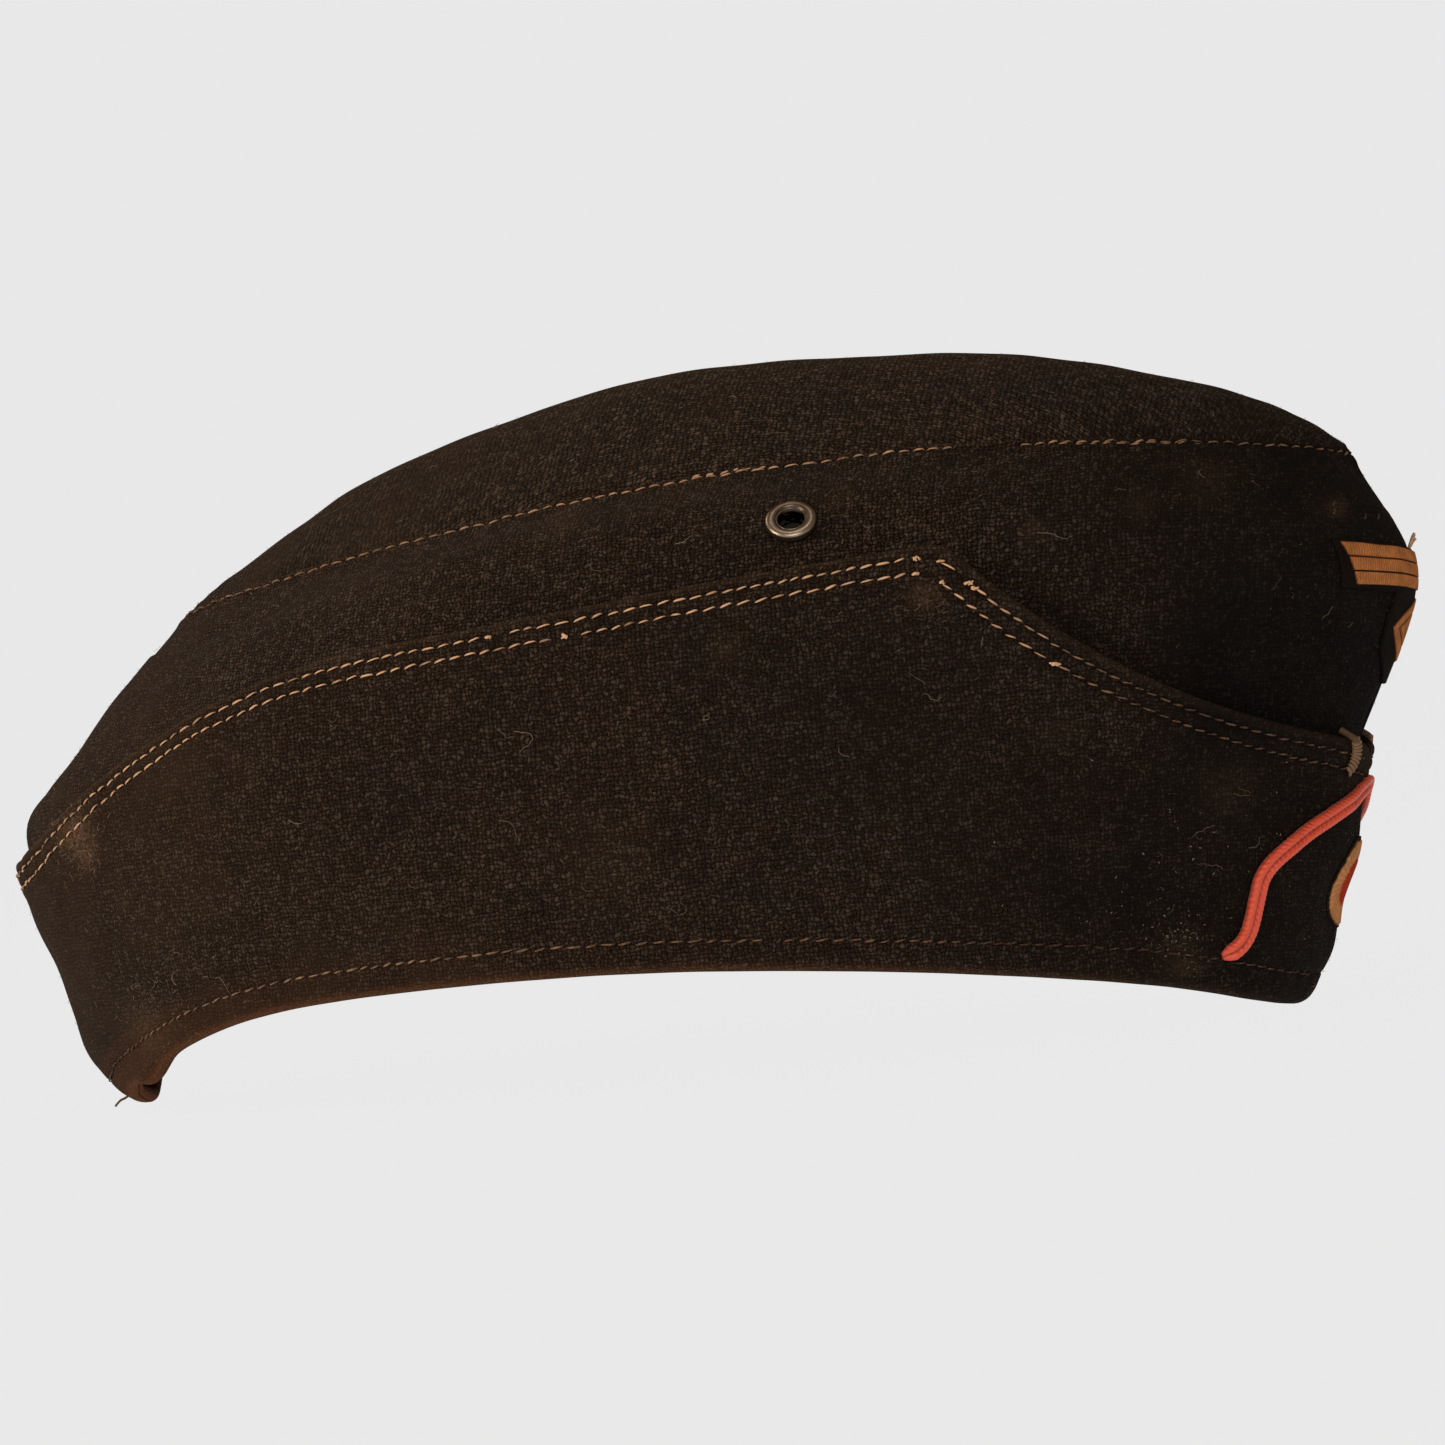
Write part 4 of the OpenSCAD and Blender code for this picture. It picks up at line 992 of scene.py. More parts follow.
def sweatband():
    """Leather strip round the inside of the rim, butted at the rear, with rounded edges."""
    t = np.linspace(0.002, 1.998, 420)[:, None]
    foot_z = off_body(t, 0.0, BAND_OUT)[..., 2] + BAND_INSET
    foot, head = height_at(t, foot_z, BAND_OUT), height_at(t, foot_z + BAND_HEIGHT, BAND_OUT)
    a = np.linspace(0, np.pi / 2, 6)
    end = 0.016
    rise = np.concatenate([end * (1 - np.cos(a)), np.linspace(end, 1 - end, 24)[1:-1],
                           1 - end * (1 - np.cos(a[::-1]))])
    half = np.concatenate([np.sin(a), np.ones(22), np.sin(a[::-1])])[None, :] * BAND_THICKNESS / 2
    h = foot + (head - foot) * rise[None, :]
    middle = (BAND_OUT + BAND_IN) / 2
    ply("sweatband_leather", cloth(t, h, middle + half), cloth(t, h, middle - half),
        BAND_LEATHER, "band_leather", "sweatband")


# ---------------------------------------------------------------- topstitching
def stitch_row(line, normals, shade, seed):
    """A row of machine stitches along a line: each is a short bowed thread that dives into the
    cloth at both ends and slants a little across the row. The pitch drifts, as the feed does,
    and some stitches are soiled. Each stitch's shade falls towards its ends, painted shade where it
    dives into the cloth, and peaks in its middle, a painted highlight. Gives points, faces and shades."""
    length = walked(line)
    rng = np.random.default_rng(seed)
    number = np.arange(int(length[-1] / STITCH_PITCH * 1.3) + 2)
    drift = 0.08 * rng.normal(size=len(number)) + 0.09 * np.sin(number / 4.3 + seed)
    steps = STITCH_PITCH * (1 + drift)
    count = max(1, int((np.cumsum(steps) < length[-1]).sum()))
    middles, steps = (np.cumsum(steps) - steps / 2)[:count], steps[:count]
    f = np.linspace(-0.5, 0.5, 7)[None, :]
    s = middles[:, None] + STITCH_SHARE * steps[:, None] * rng.uniform(0.86, 1.12, (count, 1)) * f
    path, up = resampled(s, length, line), unit(resampled(s, length, normals))
    across = np.cross(unit(np.gradient(path, axis=1)), up)
    slant = rng.normal(-0.17, 0.08, (count, 1)) * 2 * f + rng.normal(0, 0.07, (count, 1))
    lift = 0.3 * np.sqrt(np.maximum(0, 1 - (2 * f) ** 4)) - 0.2 + rng.normal(0, 0.04, (count, 1))
    path = path + across * slant[..., None] + up * lift[..., None]
    radius = THREAD / 2 * (0.62 + 0.38 * np.cos(np.pi * f)) * rng.uniform(0.74, 1.14, (count, 1))
    points, quads = tube(path, up, radius, 6, 0.85)
    tone = np.interp(middles, length, shade) * rng.uniform(0.65, 1.25, count)
    tone = tone * np.where(rng.uniform(size=count) < 0.08, 0.5, 1.0)
    # Painted shade at both ends of each stitch, where it dives into the cloth, and a painted highlight
    # along its middle.
    bow = np.repeat([0.45, 0.85, 1.05, 1.1, 1.05, 0.85, 0.45], 6)
    return points, quads, np.repeat(tone, 42) * np.tile(bow, count)


def knot(point, normal, seed, size=0.5):
    """A back-tacked end of a row: four short threads piled over each other at random angles."""
    rng = np.random.default_rng(seed)
    side = unit(np.cross(normal, [0.0, 0.0, 1.0]))
    up = np.cross(side, normal)
    f = np.linspace(-1, 1, 5)[None, :, None]
    angle = rng.uniform(-0.7, 0.9, 4)[:, None, None]
    middle = point + (rng.normal(0, 0.25, (4, 1, 1)) * side + rng.normal(0, 0.12, (4, 1, 1)) * up)
    reach = size * rng.uniform(0.6, 1.2, (4, 1, 1)) * f
    pile = 0.25 * (1 - f ** 2) - 0.05 + 0.07 * np.arange(4)[:, None, None]
    path = middle + reach * (np.cos(angle) * side + np.sin(angle) * up) + normal * pile
    points, quads = tube(path, np.broadcast_to(normal, path.shape), THREAD / 2 * 0.9, 6)
    return points, quads, np.full(len(points), 1.0)


def sewn(name, parts, material=THREAD_TAN, slot="tack_thread"):
    """Several rows and knots as one piece, with their shades."""
    shade = np.concatenate([part[2] for part in parts])
    piece(name, *join(*[part[:2] for part in parts]), material, slot, marks={"shade": shade})


def crown_line(t, shift):
    """Points and normals along the crown seam's row, shifted up or down the cloth."""
    d = np.full(t.shape, float(shift))
    point = past_seam(t, d, seam_relief(t, np.zeros(t.shape)) + 0.3 - end_dip(t))
    over = crown_normal(nearer(t), np.where(t > 1, -0.98, 0.98))
    return point, unit(body_normal(t, 0.999) + over)


def edge_line(t, down):
    """Points and normals of a row a distance below the turn-up's top edge."""
    h = edge_share(t, down)
    out = CURTAIN_OUT + edge_relief(t, np.full(t.shape, float(down))) + 0.3 - 0.4 * end_dip(t)
    return flared(t, h, edge_share(t), out), body_normal(t, h)


def hem_line(t, up):
    """Points and normals of the row a distance above the rim."""
    up = up + hem_rise(t)
    h = (up - RIM_DROP) / slopes(t)[0]
    out = CURTAIN_OUT + rim_relief(t, up) + 0.25 - 0.4 * end_dip(t)
    return flared(t, h, edge_share(t), out), body_normal(t, h)


# Runs of each row: the first and last places t, and a shift across the row. Where the machine
# stopped there is a gap, and a shifted run doubles a stretch.
RUNS = {
    "right": {"crown": ((0.006, 0.634, 0.0), (0.669, 0.99, 0.0), (0.492, 0.535, 0.6), (0.69, 0.8, -0.55)),
              "upper": ((0.005, 0.452, 0.0), (0.461, 0.626, 0.0), (0.637, 0.654, 0.0), (0.658, 0.976, 0.0)),
              "lower": ((0.005, 0.488, 0.0), (0.494, 0.629, 0.0), (0.642, 0.709, 0.0), (0.71, 0.976, 0.0)),
              "hem": ((0.005, 0.58, 0.0), (0.584, 0.962, 0.0), (0.965, 0.99, -2.4))},
    "left": {"crown": ((0.006, 0.41, 0.0), (0.4, 0.99, 0.0)),
             "upper": ((0.005, 0.55, 0.0), (0.556, 0.633, 0.0), (0.64, 0.976, 0.0)),
             "lower": ((0.005, 0.631, 0.0), (0.638, 0.976, 0.0)),
             "hem": ((0.005, 0.47, 0.0), (0.474, 0.99, 0.0))}}


def sunk(t):
    """The hem's thread is painted darker near the rear, painted shade where it sinks into the cloth."""
    return 0.2 + 0.8 * ease((t - 0.1) / 0.1)


# Tone of each row's thread along the cap: it varies with soiling, and drops towards the front,
# which is painted shade where the cap lies in shade
SHADES = {"crown": lambda t: 0.28 + 0.4 * bump(t - 0.5, 0.18) - 0.08 * ease((t - 0.65) / 0.2),
          "upper": lambda t: 0.74 + 0.4 * bump(t - 0.45, 0.2) - 0.68 * ease((t - 0.64) / 0.12),
          "lower": lambda t: 0.82 + 0.4 * bump(t - 0.42, 0.22) - 0.72 * ease((t - 0.64) / 0.12),
          "hem": lambda t: (0.15 + 0.15 * bump(t - 0.36, 0.14) - 0.14 * ease((t - 0.6) / 0.15)) * sunk(t)}


def topstitching(side):
    """The four rows of one side, with a back-tacked end wherever a run stops on the turn-up."""
    seed = 20 if side == "right" else 60
    lines = {"crown": (crown_line, 0.0), "upper": (edge_line, ROW_UPPER),
             "lower": (edge_line, ROW_LOWER), "hem": (hem_line, ROW_HEM)}
    for row, (make, down) in lines.items():
        parts = []
        for start, end, shift in RUNS[side][row]:
            t = np.linspace(start, end, max(8, int((end - start) * 800)))
            line, normal = make(place(side, t), down + shift)
            seed += 1
            parts.append(stitch_row(line, normal, SHADES[row](t), seed))
            if row in ("upper", "lower") and end < 0.72:
                parts.append(knot(line[-1], normal[-1], seed + 100))
            if row in ("upper", "lower") and start > 0.6:
                parts.append(knot(line[0], normal[0], seed + 200, 0.32))
        sewn(f"{row}_row_stitching_{side}", parts)


# ---------------------------------------------------------------- trim
def braid():
    """Soutache: two cords plaited side by side, carried along an inverted V. The section has two
    round lobes; slanting ridges, mirrored on the two lobes, are the plait. Both feet thin out
    and tuck under the hem's row. The V is softened at its tip and lies closer to the cloth."""
    k = np.linspace(-1, 1, BRAID_RINGS)
    z = BRAID_TOP - (BRAID_TOP - BRAID_FOOT) * np.abs(k) ** 1.5
    u = (BRAID_TOP - z) / (BRAID_TOP - BRAID_FOOT)
    bow = 1 - (1 - np.minimum(u / BRAID_KNEE, 1)) ** 2.1
    straighter = np.where(k > 0, 1 - 0.8 * bump(u, 0.3), 1)
    y = np.sign(k) * (BRAID_SPREAD * bow * straighter + BRAID_FLARE * u ** 16)
    t, h = on_front(y, z, CURTAIN_OUT)
    line, up = cloth(t, h, face(t, h) + 0.1), body_normal(t, h)
    step = walked(line)
    even = np.linspace(0, step[-1], BRAID_RINGS)
    line, up = resampled(even, step, line), unit(resampled(even, step, up))
    across = unit(np.cross(unit(softened(np.gradient(line, axis=0), 41)), up))
    tip = bump(even - even[-1] / 2, 7.0)[:, None]
    line = line + tip * (softened(line, 81) - line - 0.35 * up)
    a = np.linspace(0, 2 * np.pi, 36, endpoint=False)
    side = np.sign(np.cos(a)) * np.abs(np.cos(a)) ** 0.8
    lobe = np.abs(np.abs(side) - 0.52) / 0.52
    crest = np.where(np.sin(a) >= 0, 0.35 + 0.65 * np.sqrt(np.maximum(0, 1 - lobe ** 2.4)), 0.03)
    along = even[:, None]
    plait = np.sin(2 * np.pi * (along / BRAID_PLAIT + np.abs(side)[None, :] * 1.3))
    stitch = np.clip(np.sin(2 * np.pi * along / BRAID_STITCH), 0, 1) * bump(side, 0.16)[None, :]
    end = ease(np.minimum(even, even[-1] - even) / 2.2)[:, None]
    rise = BRAID_THICK * (crest + (crest > 0.2) * (0.02 * plait + 0.08 * stitch))
    width = BRAID_WIDTH / 2 * (0.42 + 0.58 * np.sqrt(end)) * (1 + 0.01 * plait)
    points = (line[:, None] + across[:, None] * (side * width)[..., None]
              + up[:, None] * (rise * (0.35 + 0.65 * end))[..., None])
    # Painted shade in the groove between the cords and along their outer edges, and faintly along the
    # plait.
    groove_shade = 0.65 * bump(side, 0.22) + 0.35 * bump(np.abs(side) - 1, 0.2) + 0.06 * plait
    uv = np.stack(np.broadcast_arrays(along, np.abs(side) * 2), -1)
    piece("soutache_cord", points.reshape(-1, 3), loop_faces(*points.shape[:2]), BRAID_RAYON,
          "braid_rayon", ["soutache_braid"], uv.reshape(-1, 2), {"groove_shade": groove_shade.ravel()})


def cockade():
    """Roundel: a woven disc with a domed middle and a raised ring, laid on the turn-up. Its
    ring's edges are uneven, as the ends of satin stitches are."""
    near = np.array([-0.15, 0, 0.15])
    r = np.concatenate([np.linspace(0.04, COCKADE_EYE - 0.3, 9), COCKADE_EYE + near,
                        [COCKADE_EYE + 0.4], np.linspace(COCKADE_EYE + 0.8, COCKADE_RING - 0.4, 9),
                        COCKADE_RING + near, [COCKADE_RING + 0.3],
                        COCKADE_EDGE + np.array([-0.3, -0.2, -0.1, -0.03, 0])])
    a = np.linspace(0, 2 * np.pi, 2 * COCKADE_STITCHES + 1)[:, None]
    rng = np.random.default_rng(31)
    ends = np.linspace(0, 2 * np.pi, COCKADE_STITCHES + 1)
    ragged = np.interp(a, ends, rng.normal(0, 0.14, COCKADE_STITCHES + 1))
    ragged[-1] = ragged[0]
    a, r = np.broadcast_arrays(a, r[None, :])
    y = COCKADE_ASIDE + r * np.cos(a)
    t, h = on_front(y, COCKADE_HEIGHT + COCKADE_ABOVE + r * np.sin(a), CURTAIN_OUT)
    edge = np.sqrt(1 - ((r - COCKADE_EDGE + 0.35) / 0.35).clip(0, 1) ** 2)
    eye, ring = (ease((limit + ragged - r) / 0.3 + 0.5) for limit in (COCKADE_EYE, COCKADE_RING))
    relief = 0.1 * eye + 0.25 * ring - 0.68 + bumps(r, (0.16, 0, 2.6), (-0.1, COCKADE_EYE, 0.25))
    ribs = 0.015 * np.sin(a * COCKADE_STITCHES) * ring
    base = face(t, h) + PLY_GAP
    outer = cloth(t, h, base + (PATCH_THICK + relief + ribs) * (0.25 + 0.75 * edge))
    tone = np.where(r < COCKADE_RING - 1, 1 + eye, ring)
    ply("woven_roundel_patch", outer, cloth(t, h, base), ROUNDEL, "woven_roundel", "cockade_patch",
        marks={"tone": tone}, uv=np.stack([a * 5.5, r], -1))


def badge():
    """Badge: a dark woven ground cut in a T, with three raised bars across its top and a plain
    lozenge with a smaller one in it below. The bars' ends slant, and thin dark lines part them."""
    bar_foot = BADGE_TOP - BADGE_BAR
    stem = bar_foot - BADGE_FOOT
    rows = np.concatenate([np.linspace(BADGE_FOOT, bar_foot - 0.8, 70)[:-1],
                           np.linspace(bar_foot - 0.8, BADGE_TOP, 60)])[None, :]
    widths = np.interp(rows, [BADGE_FOOT, BADGE_FOOT + stem * 0.35, BADGE_FOOT + stem * 0.7,
                              bar_foot - 0.8, bar_foot, BADGE_TOP],
                       [BADGE_CENTRE * 0.12, BADGE_CENTRE * 0.42, BADGE_CENTRE * 0.5,
                        BADGE_CENTRE * 0.5, BADGE_SPAN / 2 - 1, BADGE_SPAN / 2])
    f = np.linspace(-1, 1, 261)[:, None]
    y, z = np.broadcast_arrays(f * widths, rows)
    aside = np.abs(y)
    drop = BADGE_DROOP * (1 - aside / (BADGE_SPAN / 2)) * (z - BADGE_FOOT) / (BADGE_TOP - BADGE_FOOT)
    t, h = on_front(y, z - drop, 0.0, 0.7)
    low, tall = BADGE_TOP - 0.5 - z, BADGE_BAR - 0.9
    pitch = tall / 3
    share = np.mod(low, pitch) / pitch
    reach = BADGE_SPAN / 2 - 0.9 - 0.35 * low - aside
    bars = ease(np.minimum(share, 1 - share) * pitch / 0.14 - 0.6)
    bars = bars * ease(np.minimum(low, tall - low) / 0.1) * ease(reach / 0.2)
    middle = (BADGE_FOOT + bar_foot) / 2 + 1.8
    lozenge = 1 - aside / (BADGE_CENTRE * 0.36) - np.abs(z - middle) / 6.6
    outline = ease(lozenge / 0.03) * (1 - bump(lozenge - 0.42, 0.05))
    tan = np.clip(bars + outline, 0, 1)
    rim = np.minimum((1 - np.abs(f)) * widths, np.minimum(z - BADGE_FOOT, BADGE_TOP - z))
    edge = np.sqrt(1 - (1 - np.clip(rim / 0.4, 0, 1)) ** 2)
    outer = cloth(t, h, PLY_GAP + (PATCH_THICK - 0.25 + 0.34 * tan) * (0.3 + 0.7 * edge))
    ply("woven_badge_patch", outer, cloth(t, h, PLY_GAP), BADGE, "woven_badge", "badge_patch",
        marks={"tone": tan}, uv=np.stack([y, z], -1))


def bar_tack(side):
    """Bar tack: a bow of thread that starts on the side panel, passes over the turn-up's top edge
    and runs down its face, wrapped round and round by the same thread, as a helix."""
    sign = -1 if side == "right" else 1
    f = np.linspace(0, 1, 90)
    y = sign * (TACK_OFFSET - 0.9 + 3.7 * (1 - f) ** 2 + 2.7 * f ** 2)
    start = on_front(sign * (TACK_OFFSET + TACK_SLANT), 45.0, EDGE_OUT, 0.45)[0]
    top = float(curtain_top(start))
    z = top + 0.6 - 0.8 * TACK_LENGTH * f
    t, h = on_front(y, z, EDGE_OUT, 0.45)
    over = ease((top + 0.8 - z) / 1.2)
    line, up = cloth(t, h, 0.7 + (face(t, h) - 0.35) * over), body_normal(t, h)
    across = np.cross(unit(np.gradient(line, axis=0)), up)
    wraps = np.linspace(0, 1, 460)
    core_line, way, rise = (resampled(wraps, f, field) for field in (line, across, up))
    a = 2 * np.pi * TACK_WRAPS * wraps[:, None]
    thick = TACK_WIDTH / 2 * (0.55 + 0.35 * np.sin(np.pi * wraps)[:, None] ** 0.5)
    coil = core_line + thick * (1.15 * np.cos(a) * way + 0.6 * np.sin(a) * rise)
    core = tube(line[None], up[None], TACK_WIDTH * 0.36, 8)
    wrap = tube(coil[None], unit(coil - core_line)[None], 0.34, 6)
    # Painted shade: the core under the wraps gets a darker shade than the wraps, though it is the same
    # thread.
    shade = np.repeat([0.4, 0.9], [len(core[0]), len(wrap[0])])
    piece("thread_bar_tack_" + side, *join(core, wrap), THREAD_GREY, "tack_thread",
          ["front_bar_tack_" + side], marks={"shade": shade})


def eyelet(side):
    """Eyelet: one closed section turned round its axis. From outside it is a rolled flange, a
    shallow groove, a lip at the bore, a straight barrel, and a curl clenched over the washer.
    r and z are the section's distances from the axis and along it."""
    mount = next(m for m in frame["record"]["mounts"] if m["name"] == "eyelet_" + side)
    axis = unit(np.array(mount["axis"]))
    length = mount["dims"]["length_mm"]
    origin = np.array(mount["pos_m"]) / MM - axis * (EYELET_DOME - length) / 2
    bore, outer, curl = EYELET_BORE / 2, EYELET_OUTER / 2, EYELET_CURL
    barrel, foot = bore + EYELET_WALL, EYELET_DOME / 2 - length
    a = np.linspace(0, 0.86 * np.pi, 20)
    flange_r = (outer + bore + 0.2) / 2 + (outer - bore - 0.2) / 2 * np.cos(a)
    seat = np.where(a > np.pi / 2, 0.4, PLY_GAP + 0.05)
    flange_z = seat + (EYELET_DOME - seat) * np.sin(a)
    lip = np.linspace(0.1 * np.pi, np.pi, 7)
    turned = np.linspace(np.pi, 2 * np.pi, 9)
    curl_r = (bore + barrel + curl) / 2 + (barrel + curl - bore) / 2 * np.cos(turned)
    r = np.concatenate([[barrel, barrel + 0.3, outer - 0.15], flange_r, bore + 0.09 + 0.09 * np.cos(lip),
                        [bore] * 4, curl_r, [barrel + curl, barrel, barrel]])
    z = np.concatenate([[PLY_GAP] * 3, flange_z, 0.56 + 0.12 * np.sin(lip),
                        [0.4, 0.0, foot / 3, foot * 2 / 3], foot + 0.25 + 0.25 * np.sin(turned),
                        [foot + 0.5, foot + 0.5, foot + 0.8]])
    # Grime and painted shade: the bore darkens towards its inner end, and a ring on the flange's inner
    # slope beside the lip darkens too.
    soil_and_shade = np.clip((0.5 - z) / 0.4, 0, 1) * (r < bore + 0.05)
    soil_and_shade = np.maximum(soil_and_shade, 0.6 * bump(r - bore - 0.35, 0.2) * (z > 0.3))
    across = unit(np.cross(axis, [0.0, 0.0, 1.0]))
    up = np.cross(across, axis)
    turn = np.linspace(0, 2 * np.pi, 96, endpoint=False)[:, None, None]
    r, z = r[None, :, None], z[None, :, None]
    tilt = 0.12 * (outer - r * np.sin(turn)) * ease(z / 0.6)
    points = origin + r * (np.cos(turn) * across + np.sin(turn) * up) + (z + tilt) * axis
    n, m = points.shape[:2]
    at = np.arange(n * m).reshape(n, m)
    ahead = np.roll(at, -1, 0)
    quads = np.stack([at, ahead, np.roll(ahead, -1, 1), np.roll(at, -1, 1)], -1).reshape(-1, 4)
    piece("rolled_eyelet_" + side, points.reshape(-1, 3), quads, EYELET_METAL, "eyelet_metal",
          ["eyelet_" + side], marks={"soil_and_shade": np.tile(soil_and_shade, n)})


# ---------------------------------------------------------------- lint and loose threads
def strands(point_of, t, h, length, curl, lift, radius, seed, shade=(0.1, 1.0)):
    """Fibres lying on a surface: each starts at its place t, h, and wanders over the cloth with
    a heading that a sum of random turns bends. point_of gives a point of the surface raised by
    a distance, and its normal."""
    rng = np.random.default_rng(seed)
    count, rings = len(t), 12
    heading = rng.uniform(0, 2 * np.pi, (count, 1))
    heading = heading + np.cumsum(rng.normal(0, 1, (count, rings)) * curl, axis=1)
    step = np.reshape(length, (-1, 1)) / rings
    x, y = np.cumsum(np.cos(heading) * step, 1), np.cumsum(np.sin(heading) * step, 1)
    f = np.linspace(0, 1, rings)[None, :]
    wave = np.sin(np.pi * f * rng.uniform(0.6, 1.4, (count, 1))) ** 2
    high = 0.03 + lift * rng.uniform(0.2, 1, (count, 1)) * wave
    path, up = point_of(t[:, None] + x / SIDE_RUN, h[:, None] + y / SIDE_RISE, high)
    points, quads = tube(path, up, radius * (1 - 0.6 * f ** 3), 3)
    return points, quads, np.repeat(rng.uniform(*shade, count), rings * 3)


def on_curtain(t, h, high):
    """A place on the turn-up's face, raised."""
    return cloth(t, h, face(t, h) + 0.08 + high), body_normal(t, h)


def on_body(t, h, high):
    """A place on a side panel's face, raised."""
    return cloth(t, h, 0.05 + high), body_normal(t, h)


def on_crown(t, v, high):
    """A place on the crown, raised. v runs over the crown's whole width."""
    v = np.clip(v, -0.93, 0.93)
    return crown_cloth(t, v, 0.05 + high), crown_normal(t, v)


# Nap, then longer lint: count, shortest, longest, radius, range of shades
NAP = ((1100, 0.35, 1.0, 0.028, (0.0, 0.55)), (45, 1.5, 3.5, 0.032, (0.1, 0.7)))
# Longer hairs on the right side: place t, height share h, length
HAIRS = {on_curtain: ((0.469, 0.398, 6.5), (0.471, 0.392, 4.0), (0.455, 0.271, 7.0), (0.265, 0.09, 6.0),
                      (0.235, 0.11, 5.0), (0.553, 0.405, 4.0), (0.827, 0.364, 7.0), (0.53, 0.11, 7.5),
                      (0.62, 0.35, 3.0), (0.35, 0.33, 3.0), (0.83, 0.22, 6.0), (0.845, 0.27, 5.0),
                      (0.66, 0.46, 4.0), (0.82, 0.3, 7.0)),
         on_body: ((0.485, 0.68, 4.5), (0.675, 0.736, 6.0), (0.511, 0.72, 3.0), (0.777, 0.893, 4.0)),
         on_crown: ((0.542, 0.773, 5.0), (0.795, 0.63, 5.0), (0.364, 0.101, 5.0), (0.506, 0.437, 4.0))}
# Fuzz where the cloth is rubbed and dust in the nap: place t and h, spread in mm, count, length
FUZZ = ((0.196, 0.44, 3.6, 130, 1.6), (0.2, 0.4, 2.4, 50, 1.6), (0.638, 0.6, 3.0, 45, 1.3),
        (0.797, 0.1, 6.0, 60, 0.8), (0.812, 0.075, 3.2, 45, 0.9), (0.2, 0.13, 9.0, 110, 1.5),
        (0.27, 0.2, 9.0, 60, 1.3))
# Crumbs of dirt caught in the nap near the front: place t and h, spread in mm, count
CRUMBS = ((0.803, 0.09, 4.0, 26), (0.81, 0.24, 5.0, 10), (0.76, 0.2, 9.0, 14), (0.86, 0.3, 7.0, 10))


def scattered(rng, t, h, spread, count, margin):
    """Places strewn round one place of the turn-up, kept a margin away from its edges."""
    t = t + rng.normal(0, spread, count) / SIDE_RUN
    h = h + rng.normal(0, spread, count) / SIDE_RISE
    return t, np.clip(h, margin, edge_share(t) - margin)


def lint():
    """Lint: short nap all over, a few longer curled hairs on the right side, and fuzz and dust
    in worn places. Each surface's fibres are one piece."""
    rng = np.random.default_rng(77)
    parts = {on_curtain: [], on_body: [], on_crown: []}
    for number, (count, low, high, thick, shade) in enumerate(NAP):
        t = rng.uniform(0.02, 1.98, count)
        h = rng.uniform(0.06, 0.93, count) * edge_share(t)
        size = rng.uniform(low, high, count)
        places = [(on_curtain, t, h)]
        t = rng.uniform(0.03, 1.97, count)
        edge = edge_share(t) + 0.05
        places.append((on_body, t, edge + (0.96 - edge) * rng.uniform(0, 1, count)))
        t = rng.uniform(0.05, 0.95, count // 2)
        places.append((on_crown, t, rng.uniform(-0.9, 0.9, count // 2)))
        for tens, (surface, t, h) in enumerate(places):
            seed = 200 + 10 * tens + number
            parts[surface].append(strands(surface, t, h, size[:len(t)], 0.35, 0.25, thick, seed, shade))
    for number, (surface, hairs) in enumerate(HAIRS.items()):
        t, h, size = np.array(hairs).T
        parts[surface].append(strands(surface, t, h, size, 0.5, 0.5, 0.042, 230 + number, (0.4, 1.0)))
    for number, (*spot, size) in enumerate(FUZZ):
        t, h = scattered(rng, *spot, 0.01)
        size = size * rng.uniform(0.3, 1.2, len(t))
        parts[on_curtain].append(strands(on_curtain, t, h, size, 0.4, 0.3, 0.032, 240 + number, (0.2, 0.9)))
    for number, spot in enumerate(CRUMBS):
        t, h = scattered(rng, *spot, 0.02)
        size = rng.uniform(0.25, 0.6, len(t))
        parts[on_curtain].append(strands(on_curtain, t, h, size, 0.2, 0.1, 0.09, 260 + number, (0.5, 1.0)))
    sewn("lint_on_turn_up", parts[on_curtain], LINT, "curtain_wool")
    sewn("lint_on_sides", parts[on_body], LINT, "body_wool")
    sewn("lint_on_crown", parts[on_crown], LINT, "body_wool")


def loose_end(points, radius, shade):
    """A loose end of thread along a soft curve through a few points in millimetres."""
    key = np.array(points, float)
    s = np.linspace(0, len(key) - 1, 8 * len(key))
    path = softened(resampled(s, np.arange(len(key)), key), 7)
    up = np.broadcast_to(np.array([0.3, -0.5, 0.8]), path.shape)
    found, quads = tube(path[None], up[None], radius, 6)
    return found, quads, np.full(len(found), shade)


def loose_threads():
    """Loose ends: one at the rear rim, a tuft at the badge's top, and cut stubs beside it."""
    rear, out = cloth(0.02, 0.02, CURTAIN_OUT), body_normal(0.02, 0.02)
    parts = [loose_end([rear - out, rear + out * 0.8 + [0, 0, -0.3], rear + out * 2.0 + [0, -0.4, -0.1],
                        rear + out * 3.2 + [0, -0.8, -0.7]], 0.24, 0.15)]
    t, h = on_front(0.5, BADGE_TOP - BADGE_DROOP + 0.6, 0.0, 0.8)
    start, up = cloth(t, h, 0.2), body_normal(t, h)
    for lean, rise in ((-0.3, 2.2), (0.5, 1.5), (0.1, 2.6)):
        parts.append(loose_end([start, start + up * 0.9 + [0, lean, 0.7 * rise],
                                start + up * 1.5 + [0, lean * 2, rise]], 0.3, 0.85))
    for y, z, tilt in ((-19.5, 90.5, 2.6), (-20.6, 89.0, 1.8), (-14.5, 87.6, -1.6), (-11.0, 87.3, -1.4)):
        t, h = on_front(y, z, 0.0, 0.85)
        start, up = cloth(t, h, 0.05), body_normal(t, h)
        parts.append(loose_end([start - up * 0.2, start + up * 0.25 + [0, tilt * 0.4, 0.6],
                                start + up * 0.1 + [0, tilt * 0.9, 0.9]], 0.2, 0.05))
    sewn("loose_threads", parts)


